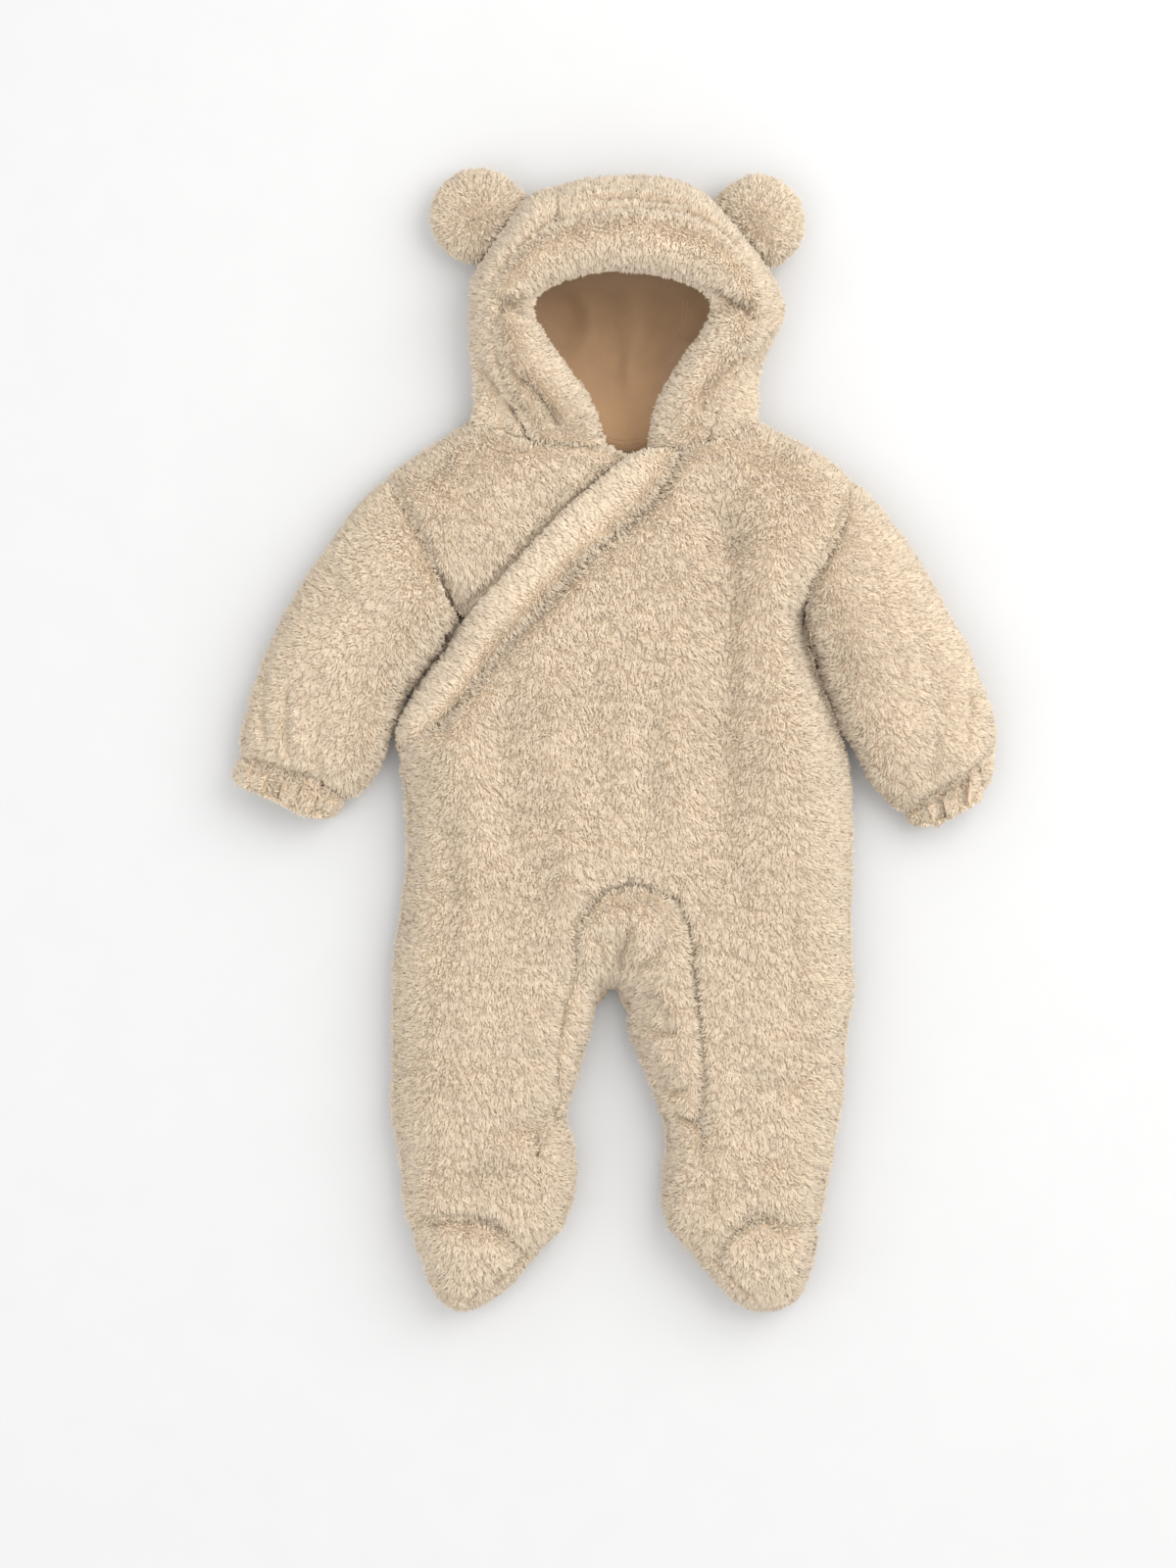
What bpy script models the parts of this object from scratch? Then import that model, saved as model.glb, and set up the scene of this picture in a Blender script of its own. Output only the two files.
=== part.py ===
"""Faux fur pramsuit for a baby of about three to six months, laid flat on its back.

The suit lies on the plane z = 0 with its hood towards +Y and its front towards +Z. Every piece that is
cut and sewn is one object. Sizes below are millimetres; the meshes are written in metres.

The fronts, the back, the gusset, the heels, the toe caps and the soles all follow one Form, which turns
a place on the plan and a depth under the fur into a point, so that neighbours meet at their seams.
"""

from collections import namedtuple

import bmesh
import bpy
import numpy as np
from mathutils import Vector

GARMENT = "faux_fur_pramsuit"
MM = 0.001

# The cloth: a deep pile on a knitted backing.
WALL = 8.0
BACK_WALL = 5.0
CUFF_WALL = 4.0
HOOD_WALL = 6.0
LINING_WALL = 2.0
SEAM_GAP = 0.3
LAYER_GAP = 0.6
TUCK_GAP = 1.4

# How far up each column of the band stands over the fronts, from the wrap's edge to the band's seam.
BAND_PROUD = (-1.0, 3.0, 4.0, 4.0, 3.0, 0.0)
# How wide a strip the band presses down on the front under it, and how wide it fades out.
PRESSED_WIDTH = 6.0
PRESSED_FADE = 20.0

# Heights of the laid-out suit.
SIDE_SEAM = 14.0
HOOD_SIDE = 20.0
BACK_ROUND = 20.0

Crown = namedtuple("Crown", "y height edge_round")
Fold = namedtuple("Fold", "x0 y0 x1 y1 rise width")
Groove = namedtuple("Groove", "seam depth width")
Rim = namedtuple("Rim", "mouth_x mouth_y lip seam_x seam_y seam_z roll")
Ear = namedtuple("Ear", "x y radius foot_x0 foot_y0 foot_x1 foot_y1")

# Height of the body's crown, and how far in from its edge the cloth takes to round over, by place.
BODY_CROWN = (
    Crown(y=200, height=33, edge_round=28),
    Crown(y=160, height=38, edge_round=36),
    Crown(y=90, height=43, edge_round=44),
    Crown(y=0, height=46, edge_round=46),
    Crown(y=-100, height=45, edge_round=44),
    Crown(y=-180, height=43, edge_round=38),
    Crown(y=-250, height=41, edge_round=34),
    Crown(y=-310, height=42, edge_round=26),
    Crown(y=-352, height=38, edge_round=22),
)
SLEEVE_CROWN = (
    Crown(y=160, height=38, edge_round=34),
    Crown(y=60, height=42, edge_round=36),
    Crown(y=-10, height=36, edge_round=27),
    Crown(y=-52, height=27, edge_round=19),
)

# Plan curves, as (x, y) rows from the top of the suit down. Left and right are the viewer's.
SHOULDER_LEFT = ((-88.5, 195.3), (-104, 186.5), (-118, 177.5), (-132, 168.5), (-140.7, 161))
SHOULDER_RIGHT = ((87.9, 195.3), (105, 186.5), (123, 177), (137, 168), (143.7, 161))
ARMHOLE_LEFT = ((-140.7, 161), (-133.5, 147.3), (-121, 129), (-109.5, 102.3), (-97.5, 72.3))
ARMHOLE_RIGHT = ((143.7, 161), (138.3, 132.3), (127.5, 110.1), (117.9, 91.5), (114.9, 76.5))
SIDE_LEFT_HIGH = ((-97.5, 72.3), (-105.3, 55), (-117, 41), (-128.5, 23), (-133.8, 6.3), (-134, -5))
SIDE_RIGHT_HIGH = ((114.9, 76.5), (120.3, 54.3), (127.5, 33.3), (135.3, 15.3), (141.8, -5))
SIDE_LEFT = ((-134, -5), (-131, -27), (-129.3, -51), (-127.8, -66), (-130.5, -90))
SIDE_RIGHT = ((141.8, -5), (144.3, -24), (144.3, -48), (146.1, -70), (144.5, -90))
LEG_LEFT_OUTER = (
    (-130.5, -90),
    (-134.1, -114),
    (-137, -140),
    (-138.3, -171),
    (-137.1, -198),
    (-138.9, -225),
    (-135.3, -246),
    (-131.7, -267),
    (-130.6, -285),
    (-127.8, -301.5),
)
LEG_RIGHT_OUTER = (
    (144.5, -90),
    (144.3, -126),
    (146.1, -141),
    (144.9, -165),
    (141.3, -186),
    (140.1, -213),
    (137.7, -234),
    (132.9, -255),
    (128, -285),
    (124.6, -302),
)
ARCH_TOP = (10.5, -89.1)
INSEAM_LEFT = (
    ARCH_TOP,
    (-3.3, -92),
    (-15.3, -100),
    (-21.9, -112.5),
    (-23.7, -128.7),
    (-25, -147),
    (-30.3, -165),
    (-33.3, -183),
    (-34.5, -201),
    (-34, -217),
    (-37.5, -230.7),
)
INSEAM_RIGHT = (
    ARCH_TOP,
    (25.5, -92.7),
    (36.9, -101),
    (43.5, -113.7),
    (45.9, -137.7),
    (48.3, -158.7),
    (50.1, -182.7),
    (51.3, -207),
    (51.3, -235),
)
CROTCH = (-2.1, -151.5)
INSIDE_LEFT = (CROTCH, (-12, -160), (-14.7, -176.7), (-18.5, -192), (-25, -210), (-31.5, -227.7))
INSIDE_RIGHT = (CROTCH, (5.2, -160), (8.1, -180), (13.5, -195), (21, -213), (28, -231))
HEEL_SEAM_LEFT = ((-37.5, -230.7), (-44, -240), (-43.5, -258), (-41, -276), (-38.5, -300.5))
HEEL_SEAM_RIGHT = ((51.3, -235), (50.7, -252), (48.9, -270), (48, -288), (45.3, -303.9))
HEEL_LEFT = ((-31.5, -227.7), (-27, -240), (-23.7, -263.7), (-25.5, -284), (-33.5, -301.5))
HEEL_RIGHT = ((28, -231), (30, -246), (29.2, -265), (26.7, -285), (30.3, -299.7))
FOOT_LEFT_OUTER = ((-127.8, -301.5), (-124, -309), (-119.7, -319.5), (-114.9, -332.5))
FOOT_RIGHT_OUTER = ((124.6, -302), (122.9, -311), (120.9, -322.5), (115.5, -337.5))
FOOT_LEFT_INNER = ((-33.5, -301.5), (-41.1, -308.7), (-50.7, -317.7), (-57.3, -326.7))
FOOT_RIGHT_INNER = ((30.3, -299.7), (38.7, -308.7), (47.1, -317.7), (53.7, -326.7))
TOE_LEFT = (
    (-57.3, -326.7),
    (-65.1, -335.7),
    (-77, -345),
    (-89.7, -351),
    (-101, -350),
    (-109, -343),
    (-114.3, -334.2),
)
TOE_RIGHT = (
    (53.7, -326.7),
    (62.1, -335.7),
    (71.7, -344.7),
    (84.3, -351),
    (97.5, -351),
    (108, -346),
    (114.9, -339),
)
WELT_LEFT = ((-38.5, -300.5), (-46.5, -308.5), (-54.5, -317.8))
WELT_RIGHT = ((45.3, -303.9), (52.5, -311.7), (61.5, -319.8))
CAP_SOLE_LEFT = (
    (-54.5, -317.8),
    (-64, -330),
    (-76, -339.5),
    (-89, -344),
    (-101, -342.5),
    (-109, -337),
    (-114.6, -333.2),
)
CAP_SOLE_RIGHT = ((61.5, -319.8), (72.5, -332.5), (87, -342.5), (99, -345), (109, -342), (115.2, -338))
CAP_ARCH_LEFT = (
    (-127.8, -301.5),
    (-121, -295.5),
    (-106.5, -292.3),
    (-84, -292.3),
    (-70, -298),
    (-60.5, -308),
    (-54.5, -317.8),
)
CAP_ARCH_RIGHT = (
    (61.5, -319.8),
    (65, -306),
    (75, -296.5),
    (89, -291),
    (104, -293.5),
    (115, -297.5),
    (124.6, -302),
)
# Where the hips end and the legs start on the back, level with the crotch.
HIP_LEFT, HIP_RIGHT = (-137.6, -151.5), (145.6, -151.5)
WAIST_MIDDLE = (4, -5)

NECK_LEFT = ((-88.5, 195.3), (-53.7, 182.1), (-5.7, 181.5), (7.5, 174.3))
NECK_RIGHT = ((40.5, 179.3), (56.7, 182.1), (87.9, 195.3))
BAND_TOP = ((7.5, 174.3), (17.7, 177), (40.5, 179.3))
NECK_BACK = ((-88.5, 195.3), (-34, 190), (42, 190), (87.9, 195.3))
WRAP_EDGE = (
    (7.5, 174.3),
    (-16.5, 153.3),
    (-31.5, 140),
    (-46.5, 124),
    (-73.5, 94.5),
    (-88.5, 80),
    (-101.5, 63),
    (-106.5, 54),
    (-117.5, 40.5),
    (-129, 22.5),
    (-133.8, 6.3),
)
BAND_SEAM = (
    (40.5, 179.3),
    (34.5, 165),
    (26.7, 150.3),
    (13.5, 136),
    (-18.3, 108.3),
    (-43.5, 81),
    (-58.5, 66),
    (-78.3, 44),
    (-91.5, 27),
    (-110, 8),
    (-134, -5),
)
TUCKED_EDGE = ((20, 172.5), (2, 138), (-28, 106), (-55, 80), (-76, 64), (-85, 60))

SLEEVE_LEFT_OUTER = (
    (-140.7, 161),
    (-155.7, 150.3),
    (-182.1, 114.3),
    (-205, 78.3),
    (-221.1, 42.3),
    (-231.3, 6.3),
    (-231.5, -10),
)
SLEEVE_LEFT_INNER = (
    (-97.5, 72.3),
    (-108.2, 54.5),
    (-120.6, 41.5),
    (-131.8, 22.5),
    (-136.5, 6.3),
    (-138.5, -6),
    (-144.3, -20.7),
    (-151, -31),
    (-165.5, -38),
)
SLEEVE_RIGHT_OUTER = (
    (143.7, 161),
    (158.1, 150.3),
    (184.5, 114.3),
    (206.1, 78.3),
    (222.9, 42.3),
    (233.5, 17),
    (234.8, 3),
    (232.3, -10),
)
SLEEVE_RIGHT_INNER = (
    (114.9, 76.5),
    (122, 53.5),
    (129.5, 32),
    (138, 11),
    (145.5, -7.5),
    (152, -24),
    (161, -36),
    (176, -46),
)
CUFF_SEAM_LEFT = ((-231.5, -10), (-220.5, -14), (-204, -20), (-186, -25), (-174, -31.5), (-165.5, -38))
CUFF_SEAM_RIGHT = ((232.3, -10), (222, -17.5), (207, -27), (191, -36.5), (183, -41.5), (176, -46))
CUFF_LEFT_OUTER = ((-231.5, -10), (-236, -17), (-235, -27))
CUFF_LEFT_INNER = ((-165.5, -38), (-168, -44), (-173, -48.5))
CUFF_LEFT_HEM = ((-235, -27), (-222, -32.5), (-206, -40), (-190.5, -47.5), (-173, -48.5))
CUFF_RIGHT_OUTER = ((232.3, -10), (232, -21), (226.5, -31.5))
CUFF_RIGHT_INNER = ((176, -46), (178, -50.5), (184, -53.5))
CUFF_RIGHT_HEM = ((226.5, -31.5), (217, -41), (206.1, -47.7), (196, -52.5), (184, -53.5))
CUFF_GATHERS = 13
GATHER_DEPTH = 1.3

# The hood's rim, from the left end of the neck round over the face to the right end.
HOOD_RIM = (
    Rim(mouth_x=-5.7, mouth_y=181.5, lip=20, seam_x=-53.7, seam_y=182.1, seam_z=24, roll=12),
    Rim(mouth_x=-9.3, mouth_y=195, lip=24, seam_x=-64, seam_y=199, seam_z=27, roll=13),
    Rim(mouth_x=-18, mouth_y=212, lip=28, seam_x=-71, seam_y=217, seam_z=31, roll=14),
    Rim(mouth_x=-30, mouth_y=227, lip=32, seam_x=-75.5, seam_y=237, seam_z=35, roll=14),
    Rim(mouth_x=-41, mouth_y=243, lip=35, seam_x=-78, seam_y=256, seam_z=39, roll=14),
    Rim(mouth_x=-49, mouth_y=257, lip=37, seam_x=-77, seam_y=275, seam_z=42, roll=13),
    Rim(mouth_x=-48.5, mouth_y=268.5, lip=40, seam_x=-68, seam_y=290, seam_z=44, roll=13),
    Rim(mouth_x=-34, mouth_y=277, lip=43, seam_x=-54, seam_y=304, seam_z=45, roll=14),
    Rim(mouth_x=-16, mouth_y=281.5, lip=45, seam_x=-39.3, seam_y=314.1, seam_z=45, roll=15),
    Rim(mouth_x=3, mouth_y=282.8, lip=46, seam_x=1, seam_y=321.8, seam_z=45, roll=16),
    Rim(mouth_x=22, mouth_y=281, lip=46, seam_x=43.5, seam_y=319.5, seam_z=45, roll=16),
    Rim(mouth_x=40, mouth_y=276.5, lip=44, seam_x=63, seam_y=310, seam_z=45, roll=15),
    Rim(mouth_x=53, mouth_y=271, lip=41, seam_x=79, seam_y=294, seam_z=44, roll=14),
    Rim(mouth_x=57.5, mouth_y=259, lip=38, seam_x=89, seam_y=276, seam_z=42, roll=13),
    Rim(mouth_x=51.5, mouth_y=247.5, lip=36, seam_x=91.5, seam_y=259, seam_z=39, roll=14),
    Rim(mouth_x=43.5, mouth_y=237, lip=34, seam_x=85, seam_y=241, seam_z=36, roll=14),
    Rim(mouth_x=33, mouth_y=222.5, lip=31, seam_x=76, seam_y=224, seam_z=33, roll=14),
    Rim(mouth_x=25.5, mouth_y=208, lip=27, seam_x=68, seam_y=208, seam_z=29, roll=14),
    Rim(mouth_x=20.5, mouth_y=192, lip=23, seam_x=61, seam_y=195, seam_z=26, roll=13),
    Rim(mouth_x=17.7, mouth_y=177, lip=20, seam_x=56.7, seam_y=182.1, seam_z=24, roll=12),
)
RIM_LEFT_SEAM, RIM_RIGHT_SEAM = 8, 10  # rows of HOOD_RIM where the centre panel's two seams start
SIDE_OVER_RIM_SEAM = 4.0
HOOD_EDGE_LEFT = (
    (-88.5, 195.3),
    (-87.3, 213),
    (-88.5, 231),
    (-90.3, 249),
    (-89.7, 264),
    (-88.5, 279),
    (-82.5, 293),
    (-71.7, 309.3),
    (-55.5, 331),
    (-40.5, 338.1),
)
HOOD_CROWN = ((-40.5, 338.1), (-16.5, 343), (7.5, 344.7), (31.5, 343.5), (46.5, 338.5))
HOOD_EDGE_RIGHT = (
    (87.9, 195.3),
    (87.5, 213),
    (90, 231),
    (98, 249),
    (104, 261.3),
    (101, 274),
    (95.7, 285),
    (84.3, 299),
    (70.5, 316.5),
    (57, 331),
    (46.5, 338.5),
)
HOOD_UNDER_LEFT = ((-34, 190), (-40.1, 329))
HOOD_UNDER_RIGHT = ((42, 190), (46.2, 329))
HOOD_FLOOR_ROUND = 22.0
HOOD_OVER_STEPS, HOOD_DOWN_STEPS, HOOD_CENTRE_COLUMNS = 5, 4, 8
INSIDE_SHARE = 0.6  # the most of a short section that the wall's thickness takes
FLOOR_SHARE = 0.7  # the most of a short section that the turn onto the floor takes

LINING_OVERLAP = 3.5
LINING_FLOOR = 8.4
LINING_SLOPE = 26.0
LINING_BEND = 1.6
LINING_SIDE_ROWS = 13

EAR_Z = 16.0
EAR_THICKNESS = 28.0
EAR_SEGMENTS, EAR_RINGS = 20, 12
EARS = (
    Ear(x=-84.3, y=320.8, radius=30.2, foot_x0=-56.4, foot_y0=333.2, foot_x1=-90.2, foot_y1=282.7),
    Ear(x=86.7, y=317, radius=29.6, foot_x0=58.1, foot_y0=332.6, foot_x1=98.0, foot_y1=283.1),
)

# The largest folds of the laid-out suit: ridges rise, troughs fall.
BODY_FOLDS = (
    Fold(x0=66, y0=150, x1=62, y1=20, rise=-4.0, width=17),
    Fold(x0=62, y0=20, x1=70, y1=-95, rise=-3.5, width=17),
    Fold(x0=96, y0=112, x1=108, y1=66, rise=4.5, width=12),
    Fold(x0=108, y0=66, x1=126, y1=10, rise=3.0, width=13),
    Fold(x0=-66, y0=42, x1=-52, y1=-90, rise=-3.5, width=18),
    Fold(x0=-22, y0=60, x1=-14, y1=-40, rise=-2.0, width=16),
    Fold(x0=-32, y0=-50, x1=-34, y1=-105, rise=3.0, width=14),
    Fold(x0=110, y0=-20, x1=106, y1=-110, rise=3.0, width=16),
    Fold(x0=-122, y0=-60, x1=-84, y1=-66, rise=-2.5, width=9),
    Fold(x0=-134, y0=-186, x1=-84, y1=-196, rise=-2.5, width=10),
    Fold(x0=-132, y0=-248, x1=-86, y1=-258, rise=-3.0, width=10),
    Fold(x0=-76, y0=-238, x1=-38, y1=-226, rise=-4.0, width=9),
    Fold(x0=136, y0=-196, x1=92, y1=-206, rise=-2.5, width=10),
    Fold(x0=130, y0=-254, x1=84, y1=-250, rise=-3.0, width=10),
    Fold(x0=28, y0=-231, x1=52, y1=-236, rise=-4.0, width=8),
    Fold(x0=-12, y0=-110, x1=30, y1=-110, rise=4.0, width=18),
    Fold(x0=2, y0=-124, x1=6, y1=-148, rise=-4.0, width=8),
)
SLEEVE_LEFT_FOLDS = (
    Fold(x0=-215, y0=48, x1=-217, y1=-6, rise=-2.5, width=8),
    Fold(x0=-196, y0=36, x1=-196, y1=-14, rise=-2.5, width=8),
    Fold(x0=-176, y0=24, x1=-178, y1=-20, rise=-2.0, width=8),
    Fold(x0=-158, y0=30, x1=-162, y1=-26, rise=-2.0, width=8),
)
SLEEVE_RIGHT_FOLDS = (
    Fold(x0=212, y0=54, x1=222, y1=-2, rise=-2.5, width=9),
    Fold(x0=196, y0=44, x1=204, y1=-12, rise=-2.5, width=8),
    Fold(x0=178, y0=36, x1=190, y1=-22, rise=-2.0, width=8),
    Fold(x0=158, y0=20, x1=174, y1=-34, rise=-2.0, width=8),
)

# Numbers of columns and rows in the panels' grids.
HALF, BAND_ROWS, BELLY_ROWS, INSEAM_ROWS, HEEL_ROWS, WELT_ROWS = 9, 19, 5, 13, 5, 2
SHOULDER_ROWS, ARM_ROWS = 4, 10
CROWD = 0.45  # how far the rows of a grid are drawn towards both its ends
ROOM_SHARE = 0.5  # how much of the room to a seam the inside of a wall may take
ON_EDGE = 0.4  # nearer than this, a point takes the edge's own direction
JUST_BEYOND = 3.0  # a point less than this outside an edge counts as on it

BODY_EDGES = (
    (SHOULDER_LEFT, 1),
    (SIDE_LEFT_HIGH + SIDE_LEFT[1:] + LEG_LEFT_OUTER[1:] + FOOT_LEFT_OUTER[1:], 1),
    (
        (INSIDE_LEFT + HEEL_LEFT[1:] + FOOT_LEFT_INNER[1:] + TOE_LEFT[1:])[::-1]
        + (INSIDE_RIGHT + HEEL_RIGHT[1:] + FOOT_RIGHT_INNER[1:] + TOE_RIGHT[1:])[1:],
        1,
    ),
    (SIDE_RIGHT_HIGH + SIDE_RIGHT[1:] + LEG_RIGHT_OUTER[1:] + FOOT_RIGHT_OUTER[1:], -1),
    (SHOULDER_RIGHT, -1),
)

FUR = (0.72, 0.58, 0.42)
FUR_SHADE = (0.66, 0.52, 0.37)
JERSEY = (0.55, 0.41, 0.27)


def smooth_curve(points, steps=12):
    """Points along a Catmull-Rom curve through the given plan points."""
    ends = [2 * points[0] - points[1], *points, 2 * points[-1] - points[-2]]
    line = []
    for a, b, c, d in zip(ends, ends[1:], ends[2:], ends[3:]):
        for s in np.arange(steps) / steps:
            cubic = (-a + 3 * b - 3 * c + d) * s**3 + (2 * a - 5 * b + 4 * c - d) * s**2
            line.append(0.5 * (cubic + (c - a) * s + 2 * b))
    return np.array([*line, points[-1]])


def spread(line, count, crowd=0.0):
    """Splits a line into count lengths; crowd from 0 to 1 draws them towards both ends."""
    reach = np.concatenate([[0], np.cumsum(np.linalg.norm(np.diff(line, axis=0), axis=1))])
    share = np.arange(count + 1) / count
    share = (1 - crowd) * share + crowd * (0.5 - 0.5 * np.cos(np.pi * share))
    return np.stack([np.interp(share * reach[-1], reach, axis) for axis in line.T], axis=1)


def curve(points, count, crowd=0.0):
    """A smooth curve through the points, split into count lengths."""
    return spread(smooth_curve(np.array(points, float)), count, crowd)


def straight(points, counts):
    """Straight runs between the points, each split into its own count."""
    rows = np.array(points, float)
    runs = [spread(rows[i : i + 2], n) for i, n in enumerate(counts)]
    return join(*runs)


def join(*lines):
    """One line from lines that follow on from each other."""
    return np.concatenate([lines[0], *(line[1:] for line in lines[1:])])


def span(line):
    """Each point's share of the way along the line."""
    reach = np.concatenate([[0], np.cumsum(np.linalg.norm(np.diff(line, axis=0), axis=1))])
    return reach / reach[-1]


def patch(top, bottom, left, right):
    """A grid of plan points between four sides: rows run from top to bottom, columns left to right."""
    across = (0.5 * (span(top) + span(bottom)))[None, :, None]
    down = (0.5 * (span(left) + span(right)))[:, None, None]
    ruled = (1 - down) * top[None] + down * bottom[None]
    ruled = ruled + (1 - across) * left[:, None] + across * right[:, None]
    upper = (1 - across) * top[0] + across * top[-1]
    lower = (1 - across) * bottom[0] + across * bottom[-1]
    return ruled - (1 - down) * upper - down * lower


def border(grid, side):
    """(points, inward unit directions) along one side of a grid, shaped to match the whole grid."""
    rows = {"top": (0, 1), "bottom": (-1, -2)}
    columns = {"left": (0, 1), "right": (-1, -2)}
    if side in rows:
        line, inside = (grid[i] for i in rows[side])
    else:
        line, inside = (grid[:, i] for i in columns[side])
    along = np.gradient(line, axis=0)
    turn = np.stack([-along[:, 1], along[:, 0]], axis=1)
    turn /= np.maximum(np.linalg.norm(turn, axis=1, keepdims=True), 1e-9)
    turn *= np.sign(np.sum(turn * (inside - line), axis=1, keepdims=True))
    return (line[None], turn[None]) if side in rows else (line[:, None], turn[:, None])


def draw_in(grid, sides, gap=SEAM_GAP / 2):
    """Pulls the named sides of a grid back from their seams by the gap."""
    moved = grid.copy()
    places = {"top": np.s_[:1], "bottom": np.s_[-1:], "left": np.s_[:, :1], "right": np.s_[:, -1:]}
    for side in sides:
        _, inward = border(grid, side)
        moved[places[side]] += inward * gap
    return moved


def off_segment(point, start, end):
    """How far a point lies from a segment, and its share of the way along it."""
    run = end - start
    along = np.clip(np.sum((point - start) * run, axis=-1) / np.sum(run * run, axis=-1), 0, 1)
    nearest = start + along[..., None] * run
    return np.linalg.norm(point - nearest, axis=-1), along


class Edge:
    """A free edge of the laid-out cloth, where it rounds over to its side seam."""

    def __init__(self, points, inside):
        self.line = smooth_curve(np.array(points, float))
        along = np.gradient(self.line, axis=0)
        turn = np.stack([-along[:, 1], along[:, 0]], axis=1) * inside
        self.inward = turn / np.linalg.norm(turn, axis=1, keepdims=True)

    def meet(self, point):
        """The distance to the edge and the unit direction away from it."""
        off, along = off_segment(point, self.line[:-1], self.line[1:])
        i = int(np.argmin(off))
        foot = self.line[i] + along[i] * (self.line[i + 1] - self.line[i])
        inward = self.inward[i] + along[i] * (self.inward[i + 1] - self.inward[i])
        inward /= np.linalg.norm(inward)
        if off[i] < JUST_BEYOND and np.dot(point - foot, inward) < 0:
            return 0.0, inward
        if off[i] < ON_EDGE:
            return off[i], inward
        return off[i], (point - foot) / off[i]


class Form:
    """The outer surface of a stuffed, laid-out part: rounded over at its edges, with folds."""

    def __init__(self, edges, crown, folds=(), grooves=(), seam_gap=0.0):
        self.edges = [Edge(points, inside) for points, inside in edges]
        self.crown = sorted(crown, key=lambda row: row.y)
        self.folds = folds
        self.grooves = grooves
        self.upper_seam = SIDE_SEAM + seam_gap / 2
        self.lower_seam = SIDE_SEAM - seam_gap / 2

    def by_height(self, y, field):
        """A crown column's value at this y."""
        return np.interp(y, [row.y for row in self.crown], [getattr(row, field) for row in self.crown])

    def relief(self, point):
        """What the folds and the seams' grooves add to the height."""
        rise = 0.0
        for fold in self.folds:
            start, end = np.array([fold.x0, fold.y0]), np.array([fold.x1, fold.y1])
            off, _ = off_segment(point, start, end)
            rise += fold.rise * np.exp(-((off / fold.width) ** 2))
        for groove in self.grooves:
            off, _ = off_segment(point, groove.seam[:-1], groove.seam[1:])
            rise -= groove.depth * np.exp(-((off.min() / groove.width) ** 2))
        return rise

    def slope(self, point, edge_round):
        """(flat, steep, inward): how flat and how steep the surface is here, and which way is in."""
        meets = [edge.meet(point) for edge in self.edges]
        off, inward = min(meets, key=lambda meet: meet[0])
        steep = 1 - min(off / edge_round, 1)
        return np.sqrt(1 - steep**2), steep, inward

    def upper(self, point, depth=0.0):
        """The point this deep under the upper surface, over a place on the plan."""
        flat, steep, inward = self.slope(point, self.by_height(point[1], "edge_round"))
        top = self.by_height(point[1], "height") + self.relief(point)
        place = point + inward * depth * steep
        return (*place, self.upper_seam + (top - self.upper_seam - depth) * flat)

    def lower(self, point, depth=0.0):
        """The same for the underside, which rests on the floor."""
        flat, steep, inward = self.slope(point, BACK_ROUND)
        place = point + inward * depth * steep
        return (*place, self.lower_seam - (self.lower_seam - depth) * flat)


class Sheet:
    """Matching outer and inner surfaces, which close into one wall of cloth."""

    def __init__(self):
        self.index = {}
        self.pairs = []
        self.faces = []

    def pair(self, outer, inner):
        """The index of this outer and inner point."""
        key = tuple(round(float(v), 2) for v in (*outer, *inner))
        if key not in self.index:
            self.index[key] = len(self.pairs)
            self.pairs.append((outer, inner))
        return self.index[key]

    def add(self, outer, inner):
        """Adds a grid of outer points and its grid of inner points."""
        ids = [[self.pair(o, i) for o, i in zip(*rows)] for rows in zip(outer, inner)]
        for upper, lower in zip(ids, ids[1:]):
            for a, b, c, d in zip(upper, upper[1:], lower[1:], lower):
                face = list(dict.fromkeys((a, b, c, d)))
                if len(face) > 2:
                    self.faces.append(face)

    def build(self, name, colour, collection, roughness=0.95):
        """Makes the object: both surfaces, joined round every open border."""
        sides = {}
        for face in self.faces:
            for a, b in zip(face, [*face[1:], face[0]]):
                sides.setdefault(frozenset((a, b)), []).append((a, b))
        borders = [uses[0] for uses in sides.values() if len(uses) == 1]
        bm = bmesh.new()
        outer = [bm.verts.new(Vector(o) * MM) for o, _ in self.pairs]
        inner = [bm.verts.new(Vector(i) * MM) for _, i in self.pairs]
        for face in self.faces:
            bm.faces.new([outer[i] for i in face])
            bm.faces.new([inner[i] for i in reversed(face)])
        for a, b in borders:
            bm.faces.new([outer[b], outer[a], inner[a], inner[b]])
        bmesh.ops.recalc_face_normals(bm, faces=bm.faces)
        mesh = bpy.data.meshes.new(name)
        bm.to_mesh(mesh)
        bm.free()
        return add_object(name, mesh, colour, collection, roughness)


def add_object(name, mesh, colour, collection, roughness=0.95):
    """Links a mesh as an object with its own Principled material."""
    material = bpy.data.materials.new(name)
    material.use_nodes = True
    shader = material.node_tree.nodes["Principled BSDF"]
    shader.inputs["Base Color"].default_value = (*colour, 1)
    shader.inputs["Roughness"].default_value = roughness
    shader.inputs["Metallic"].default_value = 0.0
    mesh.materials.append(material)
    mesh.shade_smooth()
    obj = bpy.data.objects.new(name, mesh)
    collection.objects.link(obj)
    return obj


def lay(surface, grid, depth, seams=()):
    """The grid's points on a surface, this deep, none of them pushed out over the named seams."""
    depths = np.broadcast_to(depth, grid.shape[:2])
    points = np.array([[surface(p, d) for p, d in zip(*rows)] for rows in zip(grid, depths)])
    for side in seams:
        line, inward = border(grid, side)
        room = np.sum((grid - line) * inward, axis=-1).clip(0)
        push = -np.sum((points[..., :2] - grid) * inward, axis=-1)
        points[..., :2] += (push - ROOM_SHARE * room).clip(0)[..., None] * inward
    return points


def add_wall(sheet, surface, grid, wall=WALL, depth=0.0, seams=()):
    """Adds a wall of cloth to the sheet, its outer face depth under the surface."""
    sheet.add(lay(surface, grid, depth, seams), lay(surface, grid, depth + wall, seams))


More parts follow.
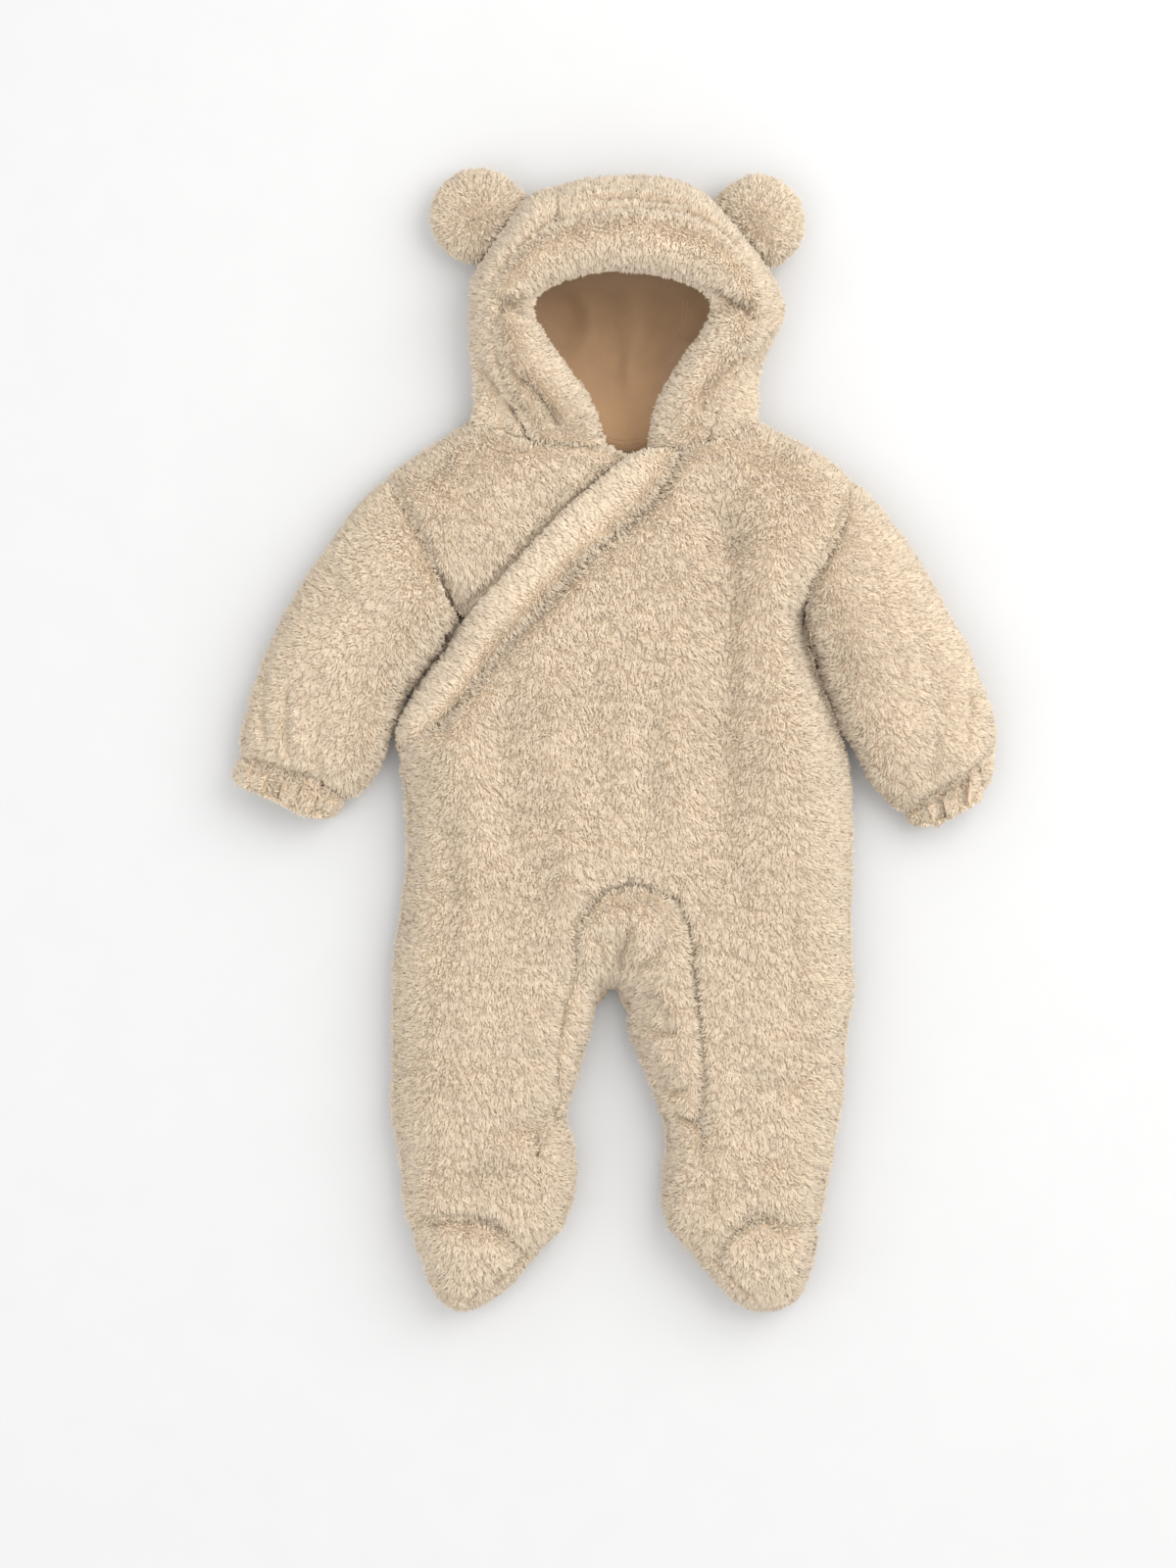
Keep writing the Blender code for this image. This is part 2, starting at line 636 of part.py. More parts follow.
def body_form():
    """The Form of the torso, legs and feet."""
    grooves = (
        Groove(curve(BAND_SEAM, 30), depth=3.5, width=5),
        Groove(curve(INSEAM_LEFT, 24), depth=3.5, width=5),
        Groove(curve(INSEAM_RIGHT, 24), depth=3.5, width=5),
        Groove(curve(CAP_ARCH_LEFT, 16), depth=3.5, width=5),
        Groove(curve(CAP_ARCH_RIGHT, 16), depth=3.5, width=5),
        Groove(curve(ARMHOLE_LEFT, 16), depth=3.0, width=6),
        Groove(curve(ARMHOLE_RIGHT, 16), depth=3.0, width=6),
        Groove(straight(NECK_LEFT, (4, 5, 2)), depth=3.0, width=6),
        Groove(straight(NECK_RIGHT, (2, 4)), depth=2.0, width=6),
    )
    return Form(BODY_EDGES, BODY_CROWN, BODY_FOLDS, grooves, seam_gap=SEAM_GAP)


def make_over_wrap(form, collection):
    """The wearer's left front: chest, belly and both leg fronts, in one piece."""
    neck = join(straight(NECK_RIGHT[:2], (HALF,)), straight(NECK_RIGHT[1:], (HALF,)))
    waist = straight((SIDE_LEFT[0], WAIST_MIDDLE, SIDE_RIGHT[0]), (HALF, HALF))
    hips = join(
        spread(np.array((SIDE_LEFT[-1], ARCH_TOP)), HALF, CROWD),
        spread(np.array((ARCH_TOP, SIDE_RIGHT[-1])), HALF, CROWD),
    )
    arm = join(
        curve(SHOULDER_RIGHT, SHOULDER_ROWS),
        curve(ARMHOLE_RIGHT, ARM_ROWS, CROWD),
        curve(SIDE_RIGHT_HIGH, BAND_ROWS - SHOULDER_ROWS - ARM_ROWS),
    )
    chest = patch(neck, waist, curve(BAND_SEAM, BAND_ROWS), arm)
    belly = patch(waist, hips, curve(SIDE_LEFT, BELLY_ROWS), curve(SIDE_RIGHT, BELLY_ROWS))
    rows = INSEAM_ROWS + HEEL_ROWS + WELT_ROWS
    left_leg = patch(
        hips[: HALF + 1],
        curve(CAP_ARCH_LEFT, HALF),
        curve(LEG_LEFT_OUTER, rows),
        join(
            curve(INSEAM_LEFT, INSEAM_ROWS),
            curve(HEEL_SEAM_LEFT, HEEL_ROWS),
            curve(WELT_LEFT, WELT_ROWS),
        ),
    )
    right_leg = patch(
        hips[HALF:],
        curve(CAP_ARCH_RIGHT, HALF),
        join(
            curve(INSEAM_RIGHT, INSEAM_ROWS),
            curve(HEEL_SEAM_RIGHT, HEEL_ROWS),
            curve(WELT_RIGHT, WELT_ROWS),
        ),
        curve(LEG_RIGHT_OUTER, rows),
    )
    chest = draw_in(chest, ("left",))
    chest = draw_in(chest, ("top",), SEAM_GAP)
    arm_rows = slice(SHOULDER_ROWS, SHOULDER_ROWS + ARM_ROWS + 1)
    chest[arm_rows] = draw_in(chest, ("right",))[arm_rows]
    left_leg = draw_in(left_leg, ("bottom",))
    left_leg[1:] = draw_in(left_leg, ("right",))[1:]
    right_leg = draw_in(right_leg, ("bottom",))
    right_leg[1:] = draw_in(right_leg, ("left",))[1:]
    sheet = Sheet()
    add_wall(sheet, form.upper, chest, seams=("top", "left", "right"))
    add_wall(sheet, form.upper, belly)
    add_wall(sheet, form.upper, left_leg, seams=("bottom", "right"))
    add_wall(sheet, form.upper, right_leg, seams=("bottom", "left"))
    return sheet.build("front_over_wrap", FUR, collection)


def make_under_wrap(form, collection):
    """The wearer's right front, which runs on below the band."""
    rows, tucked = 10, 3
    neck = straight(NECK_LEFT, (4, 4, 2))
    shown_edge = curve(WRAP_EDGE[:6] + ARMHOLE_LEFT[-1:], rows)
    armhole = curve(ARMHOLE_LEFT, ARM_ROWS, CROWD)
    shown = patch(neck, armhole, curve(SHOULDER_LEFT, rows), shown_edge)
    shown = draw_in(shown, ("bottom",))
    shown = draw_in(shown, ("top",), SEAM_GAP)
    hidden_edge = curve(TUCKED_EDGE, rows)
    ramp = np.linspace(0, 1, tucked + 1)[None, 1:, None]
    hidden = (1 - ramp) * shown[:, -1:] + ramp * hidden_edge[:, None]
    below = WALL + TUCK_GAP
    off = np.array(
        [[off_segment(p, shown_edge[:-1], shown_edge[1:])[0].min() for p in row] for row in shown]
    )
    dip = below * np.exp(-(((off - PRESSED_WIDTH).clip(0) / PRESSED_FADE) ** 2))
    grid = np.concatenate([shown, hidden], axis=1)
    depth = np.concatenate([dip, np.full((rows + 1, tucked), below)], axis=1)
    sheet = Sheet()
    add_wall(sheet, form.upper, grid, WALL, depth, ("top", "bottom"))
    return sheet.build("front_under_wrap", FUR_SHADE, collection)


def make_band(form, collection):
    """The band along the wrap's edge, a little proud of both fronts."""
    columns = len(BAND_PROUD) - 1
    top = curve(BAND_TOP, columns)
    bottom = spread(np.array((WRAP_EDGE[-1], BAND_SEAM[-1])), columns)
    grid = patch(top, bottom, curve(WRAP_EDGE, BAND_ROWS), curve(BAND_SEAM, BAND_ROWS))
    grid = draw_in(grid, ("right",))
    grid = draw_in(grid, ("top",), SEAM_GAP)
    seams = ("top", "right")
    outer = lay(form.upper, grid, -np.array(BAND_PROUD), seams)
    inner = lay(form.upper, grid, WALL - LAYER_GAP, seams)
    sheet = Sheet()
    sheet.add(outer, inner)
    return sheet.build("wrap_band", FUR, collection)


def make_back(form, collection):
    """The back panel: the back of the torso and of both legs."""
    half, side_rows, hip_rows, leg_rows = 6, 3, 6, 8
    neck = straight(NECK_BACK, (3, 6, 3))
    crotch = np.array(CROTCH)
    left_hip, right_hip = np.array(HIP_LEFT), np.array(HIP_RIGHT)
    left_hips = spread(np.array((left_hip, crotch)), half, CROWD)
    right_hips = spread(np.array((crotch, right_hip)), half, CROWD)
    hips = join(left_hips, right_hips)
    left_leg_end = np.array((LEG_LEFT_OUTER[-1], HEEL_LEFT[-1]))
    right_leg_end = np.array((HEEL_RIGHT[-1], LEG_RIGHT_OUTER[-1]))
    left_outer = smooth_curve(np.array(LEG_LEFT_OUTER))
    right_outer = smooth_curve(np.array(LEG_RIGHT_OUTER))

    def high(shoulder, armhole, side_high, side, outer):
        above = outer[outer[:, 1] > crotch[1]]
        low = spread(np.concatenate([smooth_curve(np.array(side)), above[1:]]), hip_rows)
        arm = curve(armhole, ARM_ROWS, CROWD)
        return join(curve(shoulder, SHOULDER_ROWS), arm, curve(side_high, side_rows), low)

    left_high = high(SHOULDER_LEFT, ARMHOLE_LEFT, SIDE_LEFT_HIGH, SIDE_LEFT, left_outer)
    right_high = high(SHOULDER_RIGHT, ARMHOLE_RIGHT, SIDE_RIGHT_HIGH, SIDE_RIGHT, right_outer)
    left_high[-1], right_high[-1] = left_hip, right_hip
    torso = patch(neck, hips, left_high, right_high)
    left_low = np.concatenate([[left_hip], left_outer[left_outer[:, 1] < crotch[1]]])
    right_low = np.concatenate([[right_hip], right_outer[right_outer[:, 1] < crotch[1]]])
    left_leg = patch(
        left_hips,
        spread(left_leg_end, half, CROWD),
        spread(left_low, leg_rows),
        curve(INSIDE_LEFT + HEEL_LEFT[1:], leg_rows),
    )
    right_leg = patch(
        right_hips,
        spread(right_leg_end, half, CROWD),
        curve(INSIDE_RIGHT + HEEL_RIGHT[1:], leg_rows),
        spread(right_low, leg_rows),
    )
    torso = draw_in(torso, ("top",), SEAM_GAP)
    arm_rows = slice(SHOULDER_ROWS, SHOULDER_ROWS + ARM_ROWS + 1)
    torso[arm_rows] = draw_in(torso, ("left", "right"))[arm_rows]
    left_leg = draw_in(left_leg, ("bottom",))
    right_leg = draw_in(right_leg, ("bottom",))
    sheet = Sheet()
    add_wall(sheet, form.lower, torso, BACK_WALL, seams=("top", "left", "right"))
    for grid in (left_leg, right_leg):
        add_wall(sheet, form.lower, grid, BACK_WALL, seams=("bottom",))
    return sheet.build("back_panel", FUR_SHADE, collection)


def make_gusset(form, collection):
    """The strip from ankle to ankle between the legs, widest under the front's arch."""
    columns = 5
    outer = join(curve(INSEAM_LEFT, INSEAM_ROWS)[::-1], curve(INSEAM_RIGHT, INSEAM_ROWS))
    inner = join(curve(INSIDE_LEFT, INSEAM_ROWS)[::-1], curve(INSIDE_RIGHT, INSEAM_ROWS))
    grid = patch(
        spread(np.array((outer[0], inner[0])), columns),
        spread(np.array((outer[-1], inner[-1])), columns),
        outer,
        inner,
    )
    seams = ("left", "top", "bottom")
    grid = draw_in(grid, seams)
    sheet = Sheet()
    add_wall(sheet, form.upper, grid, seams=seams)
    return sheet.build("leg_gusset", FUR, collection)


def make_heel(form, collection, name, seam, edge):
    """The inner side of a foot, between the front's seam and the foot's inner edge."""
    columns = 3
    left, right = curve(seam, HEEL_ROWS), curve(edge, HEEL_ROWS)
    top = spread(np.array((left[0], right[0])), columns)
    bottom = spread(np.array((left[-1], right[-1])), columns)
    seams = ("left", "top", "bottom")
    grid = draw_in(patch(top, bottom, left, right), seams)
    sheet = Sheet()
    add_wall(sheet, form.upper, grid, seams=seams)
    return sheet.build(name, FUR, collection)


def make_toe_cap(form, collection, name, arch, sole_seam, outer):
    """The cap over the toes, between its arched seam and the sole's seam."""
    rows = 5
    bottom = curve(sole_seam, HALF)
    side = curve(outer, rows)
    if arch[0] == outer[0]:
        bottom = bottom[::-1]
        point = np.tile(np.array(arch[-1], float), (rows + 1, 1))
        left, right = side, point
        left[-1] = bottom[0]
    else:
        left, right = np.tile(np.array(arch[0], float), (rows + 1, 1)), side
        right[-1] = bottom[-1]
    top = curve(arch, HALF)
    down = np.linspace(0, 1, rows + 1)[:, None, None]
    ruled = (1 - down) * top[None] + down * bottom[None]
    share = np.linspace(0, 1, HALF + 1)[None, :, None]
    ends = (1 - down) * ((1 - share) * top[0] + share * top[-1])
    ends = ends + down * ((1 - share) * bottom[0] + share * bottom[-1])
    grid = ruled + (1 - share) * left[:, None] + share * right[:, None] - ends
    grid = draw_in(draw_in(grid, ("top",)), ("bottom",), 2 * SEAM_GAP)
    sheet = Sheet()
    add_wall(sheet, form.upper, grid, seams=("top", "bottom"))
    return sheet.build(name, FUR, collection)


def make_sole(form, collection, name, outer, inner, toe, welt, cap_seam):
    """The sole: the underside of the foot and the welt that shows along its inner edge."""
    rows, under, over = WELT_ROWS + HALF, 6, 2
    outside = curve(outer, rows, CROWD)
    inside = join(curve(inner, WELT_ROWS), curve(toe, HALF))
    seam = join(curve(welt, WELT_ROWS), curve(cap_seam, HALF))
    across = (0.5 - 0.5 * np.cos(np.pi * np.arange(under + 1) / under))[None, :, None]
    floor = (1 - across) * outside[:, None] + across * inside[:, None]
    rise = np.linspace(0, 1, over + 1)[None, :, None]
    edge = (1 - rise) * inside[:, None] + rise * seam[:, None]
    floor = draw_in(floor, ("top",))
    edge = draw_in(edge, ("top", "right"))[:, 1:]
    surfaces = []
    for depth in (0.0, BACK_WALL):
        below = lay(form.lower, floor, depth, ("top",))
        above = lay(form.upper, edge, depth, ("top", "right"))
        surfaces.append(np.concatenate([below, above], axis=1))
    sheet = Sheet()
    sheet.add(*surfaces)
    return sheet.build(name, FUR_SHADE, collection)


def tube(form, sheet, grid, wall, waves=0.0, seams=("top", "bottom")):
    """Adds the upper and the lower wall of a laid-out tube, joined along both edges."""
    add_wall(sheet, form.upper, grid, wall, -waves, seams)
    add_wall(sheet, form.lower, grid, wall, 0.0, seams)


def make_sleeve(collection, name, form, armhole, cuff_seam, outer, inner):
    """A sleeve: one tube from the armhole to the cuff."""
    rows = 12
    left = curve(outer, rows)
    right = curve(inner, rows)
    grid = patch(curve(armhole, ARM_ROWS, CROWD), curve(cuff_seam, ARM_ROWS, CROWD), left, right)
    grid = draw_in(grid, ("top", "bottom"))
    sheet = Sheet()
    tube(form, sheet, grid, WALL)
    return sheet.build(name, FUR, collection)


def make_cuff(collection, name, form, seam, hem, outer, inner):
    """A cuff gathered by elastic: a short tube with waves along it."""
    columns, rows = 2 * CUFF_GATHERS, 3
    grid = patch(curve(seam, columns), curve(hem, columns), curve(outer, rows), curve(inner, rows))
    grid = draw_in(grid, ("top",), 2 * SEAM_GAP)
    turn = np.pi * CUFF_GATHERS * np.arange(columns + 1) / columns
    waves = np.tile(GATHER_DEPTH * np.cos(turn), (rows + 1, 1))
    waves[:, (0, -1)] = 0
    sheet = Sheet()
    tube(form, sheet, grid, CUFF_WALL, waves, ("top",))
    return sheet.build(name, FUR, collection)


def rim_line(*fields):
    """A smooth line through these columns of HOOD_RIM."""
    rows = np.array([[getattr(row, field) for field in fields] for row in HOOD_RIM], float)
    return smooth_curve(rows, 2)


def make_rim(collection):
    """The band turned back round the face: a soft roll, open underneath."""
    columns = 6
    mouth = rim_line("mouth_x", "mouth_y", "lip")
    seam = rim_line("seam_x", "seam_y", "seam_z")
    roll = rim_line("roll", "roll")[:, 0]
    width = np.linalg.norm(seam[:, :2] - mouth[:, :2], axis=1)
    share = 0.5 - 0.5 * np.cos(np.pi * np.arange(columns + 1) / columns)
    lift = np.sqrt(np.maximum(1 - (2 * share - 1) ** 2, 0))
    seam_in = SEAM_GAP / width
    outer, inner = [], []
    for m, s, r, w, gap in zip(mouth, seam, roll, width, seam_in):
        wall = HOOD_WALL / w
        over = share * (1 - gap)
        under = wall + share * (1 - gap - 2 * wall)
        base = np.outer(1 - over, m) + np.outer(over, s)
        below = np.outer(1 - under, m) + np.outer(under, s)
        outer.append([(x, y, z + r * up) for (x, y, z), up in zip(base, lift)])
        inner.append([(x, y, z + (r - HOOD_WALL) * up) for (x, y, z), up in zip(below, lift)])
    sheet = Sheet()
    sheet.add(outer, inner)
    return sheet.build("hood_rim", FUR, collection)


def hood_section(seam, side, under, wall):
    """One section of a hood panel: from the rim's seam, out and round to the floor, and under."""
    seam_place, seam_z = seam[:2], seam[2]
    reach = side - seam_place
    length = np.linalg.norm(reach)
    turn = np.linspace(0, np.pi / 2, HOOD_OVER_STEPS + 1)
    out_share = np.sin(turn)
    stop = 1 - min(wall / length, INSIDE_SHARE)
    points = []
    for deep, limit in ((0.0, 1.0), (wall, stop)):
        over = [
            (*(seam_place + reach * share * limit), HOOD_SIDE + (seam_z - deep - HOOD_SIDE) * np.cos(a))
            for share, a in zip(out_share, turn)
        ]
        home = under - side
        far = np.linalg.norm(home)
        bend = min(HOOD_FLOOR_ROUND, FLOOR_SHARE * far)
        edge = side + home * min(deep / far, INSIDE_SHARE)
        bottom = side + home * bend / far
        down = [
            (*(edge + (bottom - edge) * (1 - np.cos(a))), HOOD_SIDE - (HOOD_SIDE - deep) * np.sin(a))
            for a in np.linspace(0, np.pi / 2, HOOD_DOWN_STEPS + 1)[1:]
        ]
        flat = [(*(bottom + (under - bottom) * f), deep) for f in (0.5, 1.0)]
        points.append(over + down + flat)
    return points


def make_hood_panel(collection, name, seam, side, under):
    """A panel of the hood, lofted through sections between its three guide lines."""
    sections = [hood_section(a, b, c, HOOD_WALL) for a, b, c in zip(seam, side, under)]
    sheet = Sheet()
    sheet.add([outer for outer, _ in sections], [inner for _, inner in sections])
    return sheet.build(name, FUR_SHADE, collection)


def make_hood(collection):
    """The hood's rim, its centre panel and its two side panels."""
    seam = rim_line("seam_x", "seam_y", "seam_z")
    seam[:, 2] += SIDE_OVER_RIM_SEAM
    left_end, right_end = 2 * RIM_LEFT_SEAM, 2 * RIM_RIGHT_SEAM
    left, centre, right = seam[: left_end + 1], seam[left_end : right_end + 1], seam[right_end:][::-1]
    gap = np.array((SEAM_GAP / 2, 0))
    left_side = curve(HOOD_EDGE_LEFT, len(left) - 1)
    right_side = curve(HOOD_EDGE_RIGHT, len(right) - 1)
    crown = curve(HOOD_CROWN, HOOD_CENTRE_COLUMNS)
    centre = spread(centre, HOOD_CENTRE_COLUMNS)
    for line in (left, left_side):
        line[-1, 0] -= gap[0]
    for line in (right, right_side):
        line[-1, 0] += gap[0]
    for line in (centre, crown):
        line[0, 0] += gap[0]
        line[-1, 0] -= gap[0]
    under_left = spread(np.array(HOOD_UNDER_LEFT), len(left) - 1) - gap
    under_right = spread(np.array(HOOD_UNDER_RIGHT), len(right) - 1) + gap
    neck = spread(np.array((HOOD_UNDER_LEFT[0], HOOD_UNDER_RIGHT[0]), float), HOOD_CENTRE_COLUMNS)
    neck[0] += gap
    neck[-1] -= gap
    make_rim(collection)
    make_hood_panel(collection, "hood_side_left", left, left_side, under_left)
    make_hood_panel(collection, "hood_side_right", right, right_side, under_right)
    make_hood_panel(collection, "hood_centre", centre, crown, neck)


def make_lining(collection):
    """The smooth lining: a bowl that hangs from the rim's mouth and lies on the hood's back."""
    lip = rim_line("mouth_x", "mouth_y", "lip")
    along = np.gradient(lip[:, :2], axis=0)
    outward = np.stack([-along[:, 1], along[:, 0]], axis=1)
    outward /= np.linalg.norm(outward, axis=1, keepdims=True)
    edge = lip.copy()
    edge[:, :2] += outward * LINING_OVERLAP
    edge[:, 2] -= LAYER_GAP
    edge = edge[1:-2]
    line = edge[:, :2]
    left = line[: LINING_SIDE_ROWS + 1][::-1]
    right = line[-LINING_SIDE_ROWS - 1 :]
    top = line[LINING_SIDE_ROWS : len(line) - LINING_SIDE_ROWS]
    bottom = spread(np.array((left[-1], right[-1])), len(top) - 1)
    outer, inner = [], []
    for row in patch(top, bottom, left, right):
        over, under = [], []
        for place in row:
            off, share = off_segment(place, line[:-1], line[1:])
            k = int(np.argmin(off))
            rim_z = edge[k, 2] + share[k] * (edge[k + 1, 2] - edge[k, 2])
            foot = line[k] + share[k] * (line[k + 1] - line[k])
            steep = max(1 - off[k] / LINING_SLOPE, 0)
            z = LINING_FLOOR + (rim_z - LINING_FLOOR) * steep**LINING_BEND
            away = (foot - place) / off[k] if off[k] > ON_EDGE / 2 else np.zeros(2)
            over.append((*place, z))
            aside = away * LINING_WALL * min(1.2 * steep, 0.8)
            under.append((*(place + aside), z - LINING_WALL * (1 - 0.5 * steep)))
        outer.append(over)
        inner.append(under)
    sheet = Sheet()
    sheet.add(outer, inner)
    return sheet.build("hood_lining", JERSEY, collection, roughness=0.8)


def make_ear(collection, name, ear):
    """A stuffed round ear, cut off where it is sewn to the hood."""
    bpy.ops.mesh.primitive_uv_sphere_add(segments=EAR_SEGMENTS, ring_count=EAR_RINGS, radius=1.0)
    obj = bpy.context.active_object
    mesh = obj.data
    bpy.data.objects.remove(obj)
    bm = bmesh.new()
    bm.from_mesh(mesh)
    size = Vector((ear.radius, ear.radius, EAR_THICKNESS / 2)) * MM
    bmesh.ops.scale(bm, vec=size, verts=bm.verts)
    bmesh.ops.translate(bm, vec=Vector((ear.x, ear.y, EAR_Z)) * MM, verts=bm.verts)
    start = Vector((ear.foot_x0, ear.foot_y0, 0)) * MM
    end = Vector((ear.foot_x1, ear.foot_y1, 0)) * MM
    normal = (end - start).cross(Vector((0, 0, 1))).normalized()
    if normal.dot(Vector((ear.x, ear.y, 0)) * MM - start) < 0:
        normal.negate()
    cut = bmesh.ops.bisect_plane(
        bm, geom=[*bm.verts, *bm.edges, *bm.faces], plane_co=start, plane_no=normal, clear_inner=True
    )
    rim = [item for item in cut["geom_cut"] if isinstance(item, bmesh.types.BMEdge)]
    bmesh.ops.contextual_create(bm, geom=rim)
    bmesh.ops.recalc_face_normals(bm, faces=bm.faces)
    bm.to_mesh(mesh)
    bm.free()
    mesh.name = name
    return add_object(name, mesh, FUR, collection)


def centre_on_origin(objects):
    """Moves the meshes so that the whole suit's box stands centred over the origin."""
    corners = np.array([v.co[:] for obj in objects for v in obj.data.vertices])
    middle = 0.5 * (corners.min(axis=0) + corners.max(axis=0))
    shift = Vector((-middle[0], -middle[1], -corners[:, 2].min()))
    for obj in objects:
        for vertex in obj.data.vertices:
            vertex.co += shift


def make_arm(collection, side, edges, folds, armhole, cuff_seam, hem):
    """One arm: its sleeve and its cuff, which share a form."""
    outer, inner, cuff_outer, cuff_inner, outer_side = edges
    grooves = (
        Groove(curve(armhole, 16), depth=3.0, width=6),
        Groove(curve(cuff_seam, 12), depth=4.0, width=5),
    )
    sides = ((outer + cuff_outer[1:], outer_side), (inner + cuff_inner[1:], -outer_side))
    form = Form(sides, SLEEVE_CROWN, folds, grooves)
    make_sleeve(collection, f"sleeve_{side}", form, armhole, cuff_seam, outer, inner)
    make_cuff(collection, f"cuff_{side}", form, cuff_seam, hem, cuff_outer, cuff_inner)


def make_feet(collection, form):
    """The heels, the toe caps and the soles of both feet."""
    make_heel(form, collection, "heel_left", HEEL_SEAM_LEFT, HEEL_LEFT)
    make_heel(form, collection, "heel_right", HEEL_SEAM_RIGHT, HEEL_RIGHT)
    make_toe_cap(form, collection, "toe_cap_left", CAP_ARCH_LEFT, CAP_SOLE_LEFT, FOOT_LEFT_OUTER)
    make_toe_cap(form, collection, "toe_cap_right", CAP_ARCH_RIGHT, CAP_SOLE_RIGHT, FOOT_RIGHT_OUTER)
    left = (FOOT_LEFT_OUTER, FOOT_LEFT_INNER, TOE_LEFT, WELT_LEFT, CAP_SOLE_LEFT)
    right = (FOOT_RIGHT_OUTER, FOOT_RIGHT_INNER, TOE_RIGHT, WELT_RIGHT, CAP_SOLE_RIGHT)
    make_sole(form, collection, "sole_left", *left)
    make_sole(form, collection, "sole_right", *right)


def main():
    """Makes every piece of the suit and stands it over the origin."""
    for obj in list(bpy.data.objects):
        bpy.data.objects.remove(obj)
    suit = bpy.data.collections.new(GARMENT)
    bpy.context.scene.collection.children.link(suit)
    body = body_form()
    make_back(body, suit)
    make_over_wrap(body, suit)
    make_under_wrap(body, suit)
    make_band(body, suit)
    make_gusset(body, suit)
    make_feet(suit, body)
    left = (SLEEVE_LEFT_OUTER, SLEEVE_LEFT_INNER, CUFF_LEFT_OUTER, CUFF_LEFT_INNER, 1)
    right = (SLEEVE_RIGHT_OUTER, SLEEVE_RIGHT_INNER, CUFF_RIGHT_OUTER, CUFF_RIGHT_INNER, -1)
    make_arm(suit, "left", left, SLEEVE_LEFT_FOLDS, ARMHOLE_LEFT, CUFF_SEAM_LEFT, CUFF_LEFT_HEM)
    make_arm(suit, "right", right, SLEEVE_RIGHT_FOLDS, ARMHOLE_RIGHT, CUFF_SEAM_RIGHT, CUFF_RIGHT_HEM)
    make_hood(suit)
    make_lining(suit)
    for name, ear in zip(("ear_left", "ear_right"), EARS):
        make_ear(suit, name, ear)
    centre_on_origin(list(suit.objects))


main()
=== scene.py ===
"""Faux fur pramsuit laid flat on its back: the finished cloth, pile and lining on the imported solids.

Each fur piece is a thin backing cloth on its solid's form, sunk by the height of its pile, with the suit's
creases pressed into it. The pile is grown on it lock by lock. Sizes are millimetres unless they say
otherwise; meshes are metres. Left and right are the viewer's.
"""

import logging
import math
from dataclasses import dataclass, field
from enum import Enum

import bmesh
import bpy
import numpy as np
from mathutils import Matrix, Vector
from mathutils.bvhtree import BVHTree


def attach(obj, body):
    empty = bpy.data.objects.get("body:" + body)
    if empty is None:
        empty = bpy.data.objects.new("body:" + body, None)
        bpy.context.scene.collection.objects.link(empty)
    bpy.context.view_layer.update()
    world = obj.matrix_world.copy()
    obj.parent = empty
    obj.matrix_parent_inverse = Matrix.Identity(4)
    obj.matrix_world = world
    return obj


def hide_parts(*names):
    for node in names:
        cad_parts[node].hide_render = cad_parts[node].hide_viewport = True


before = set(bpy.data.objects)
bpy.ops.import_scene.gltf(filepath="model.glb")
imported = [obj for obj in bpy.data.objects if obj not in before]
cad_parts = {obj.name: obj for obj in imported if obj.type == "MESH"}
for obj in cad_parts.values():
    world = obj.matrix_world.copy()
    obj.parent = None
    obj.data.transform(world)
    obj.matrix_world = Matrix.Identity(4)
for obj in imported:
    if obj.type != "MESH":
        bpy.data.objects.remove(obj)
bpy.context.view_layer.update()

LOG = logging.getLogger("pramsuit")
MM = 0.001
Place = tuple[float, float]
Colour = tuple[float, float, float]
Sockets = dict[str, bpy.types.NodeSocket]
Value = float | tuple[float, ...] | bpy.types.NodeSocket

# The photograph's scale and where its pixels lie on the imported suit's plan.
MM_PER_PIXEL = 0.6
ORIGIN_PIXEL = (628.0, 755.0)


def plan(x: float, y: float) -> Place:
    """The plan position, in millimetres, of a place in the photograph's 1200 by 1600 frame."""
    return (x - ORIGIN_PIXEL[0]) * MM_PER_PIXEL, (ORIGIN_PIXEL[1] - y) * MM_PER_PIXEL


def ramp(values: np.ndarray, gain: float, lift: float = 0.0) -> np.ndarray:
    """The values times a gain plus a lift, held between 0 and 1."""
    return np.clip(values * gain + lift, 0, 1)


@dataclass(frozen=True)
class Crease:
    """A soft trough (depth above 0) or ridge (below 0) along a line of places in the photograph.

    It fades to the end share of its depth over its last fifth at each end.
    """

    line: tuple[Place, ...]
    depth: float
    width: float
    fading: float = 0.2
    end_share: float = 0.15

    def press(self, points: np.ndarray) -> np.ndarray:
        """How deep it presses at each plan point.

        Args:
            points: plan positions in millimetres, one row each.

        Returns:
            The depth in millimetres at each point.
        """
        knots = np.array([plan(*place) for place in self.line])
        lengths = np.linalg.norm(np.diff(knots, axis=0), axis=1)
        starts = np.concatenate([[0], np.cumsum(lengths)])
        nearest = np.full(len(points), np.inf)
        share = np.zeros(len(points))
        for a, b, length, start in zip(knots, knots[1:], lengths, starts):
            along = np.clip((points - a) @ (b - a) / length**2, 0, 1)
            off = np.linalg.norm(points - a - along[:, None] * (b - a), axis=1)
            better = off < nearest
            nearest[better] = off[better]
            share[better] = (start + along[better] * length) / starts[-1]
        fade = np.clip(np.minimum(share, 1 - share) / self.fading, 0, 1)
        fade = self.end_share + (1 - self.end_share) * fade * fade * (3 - 2 * fade)
        return self.depth * fade * np.exp(-((nearest / self.width) ** 2))


def creases(width: float, *rows: tuple) -> tuple[Crease, ...]:
    """Creases from rows of a depth and the photograph's places along each.

    Args:
        width: how wide the creases are, in millimetres.
        rows: a depth, then the places that the crease runs through.

    Returns:
        One crease for each row.
    """
    return tuple(Crease(tuple(row[1:]), row[0], width) for row in rows)


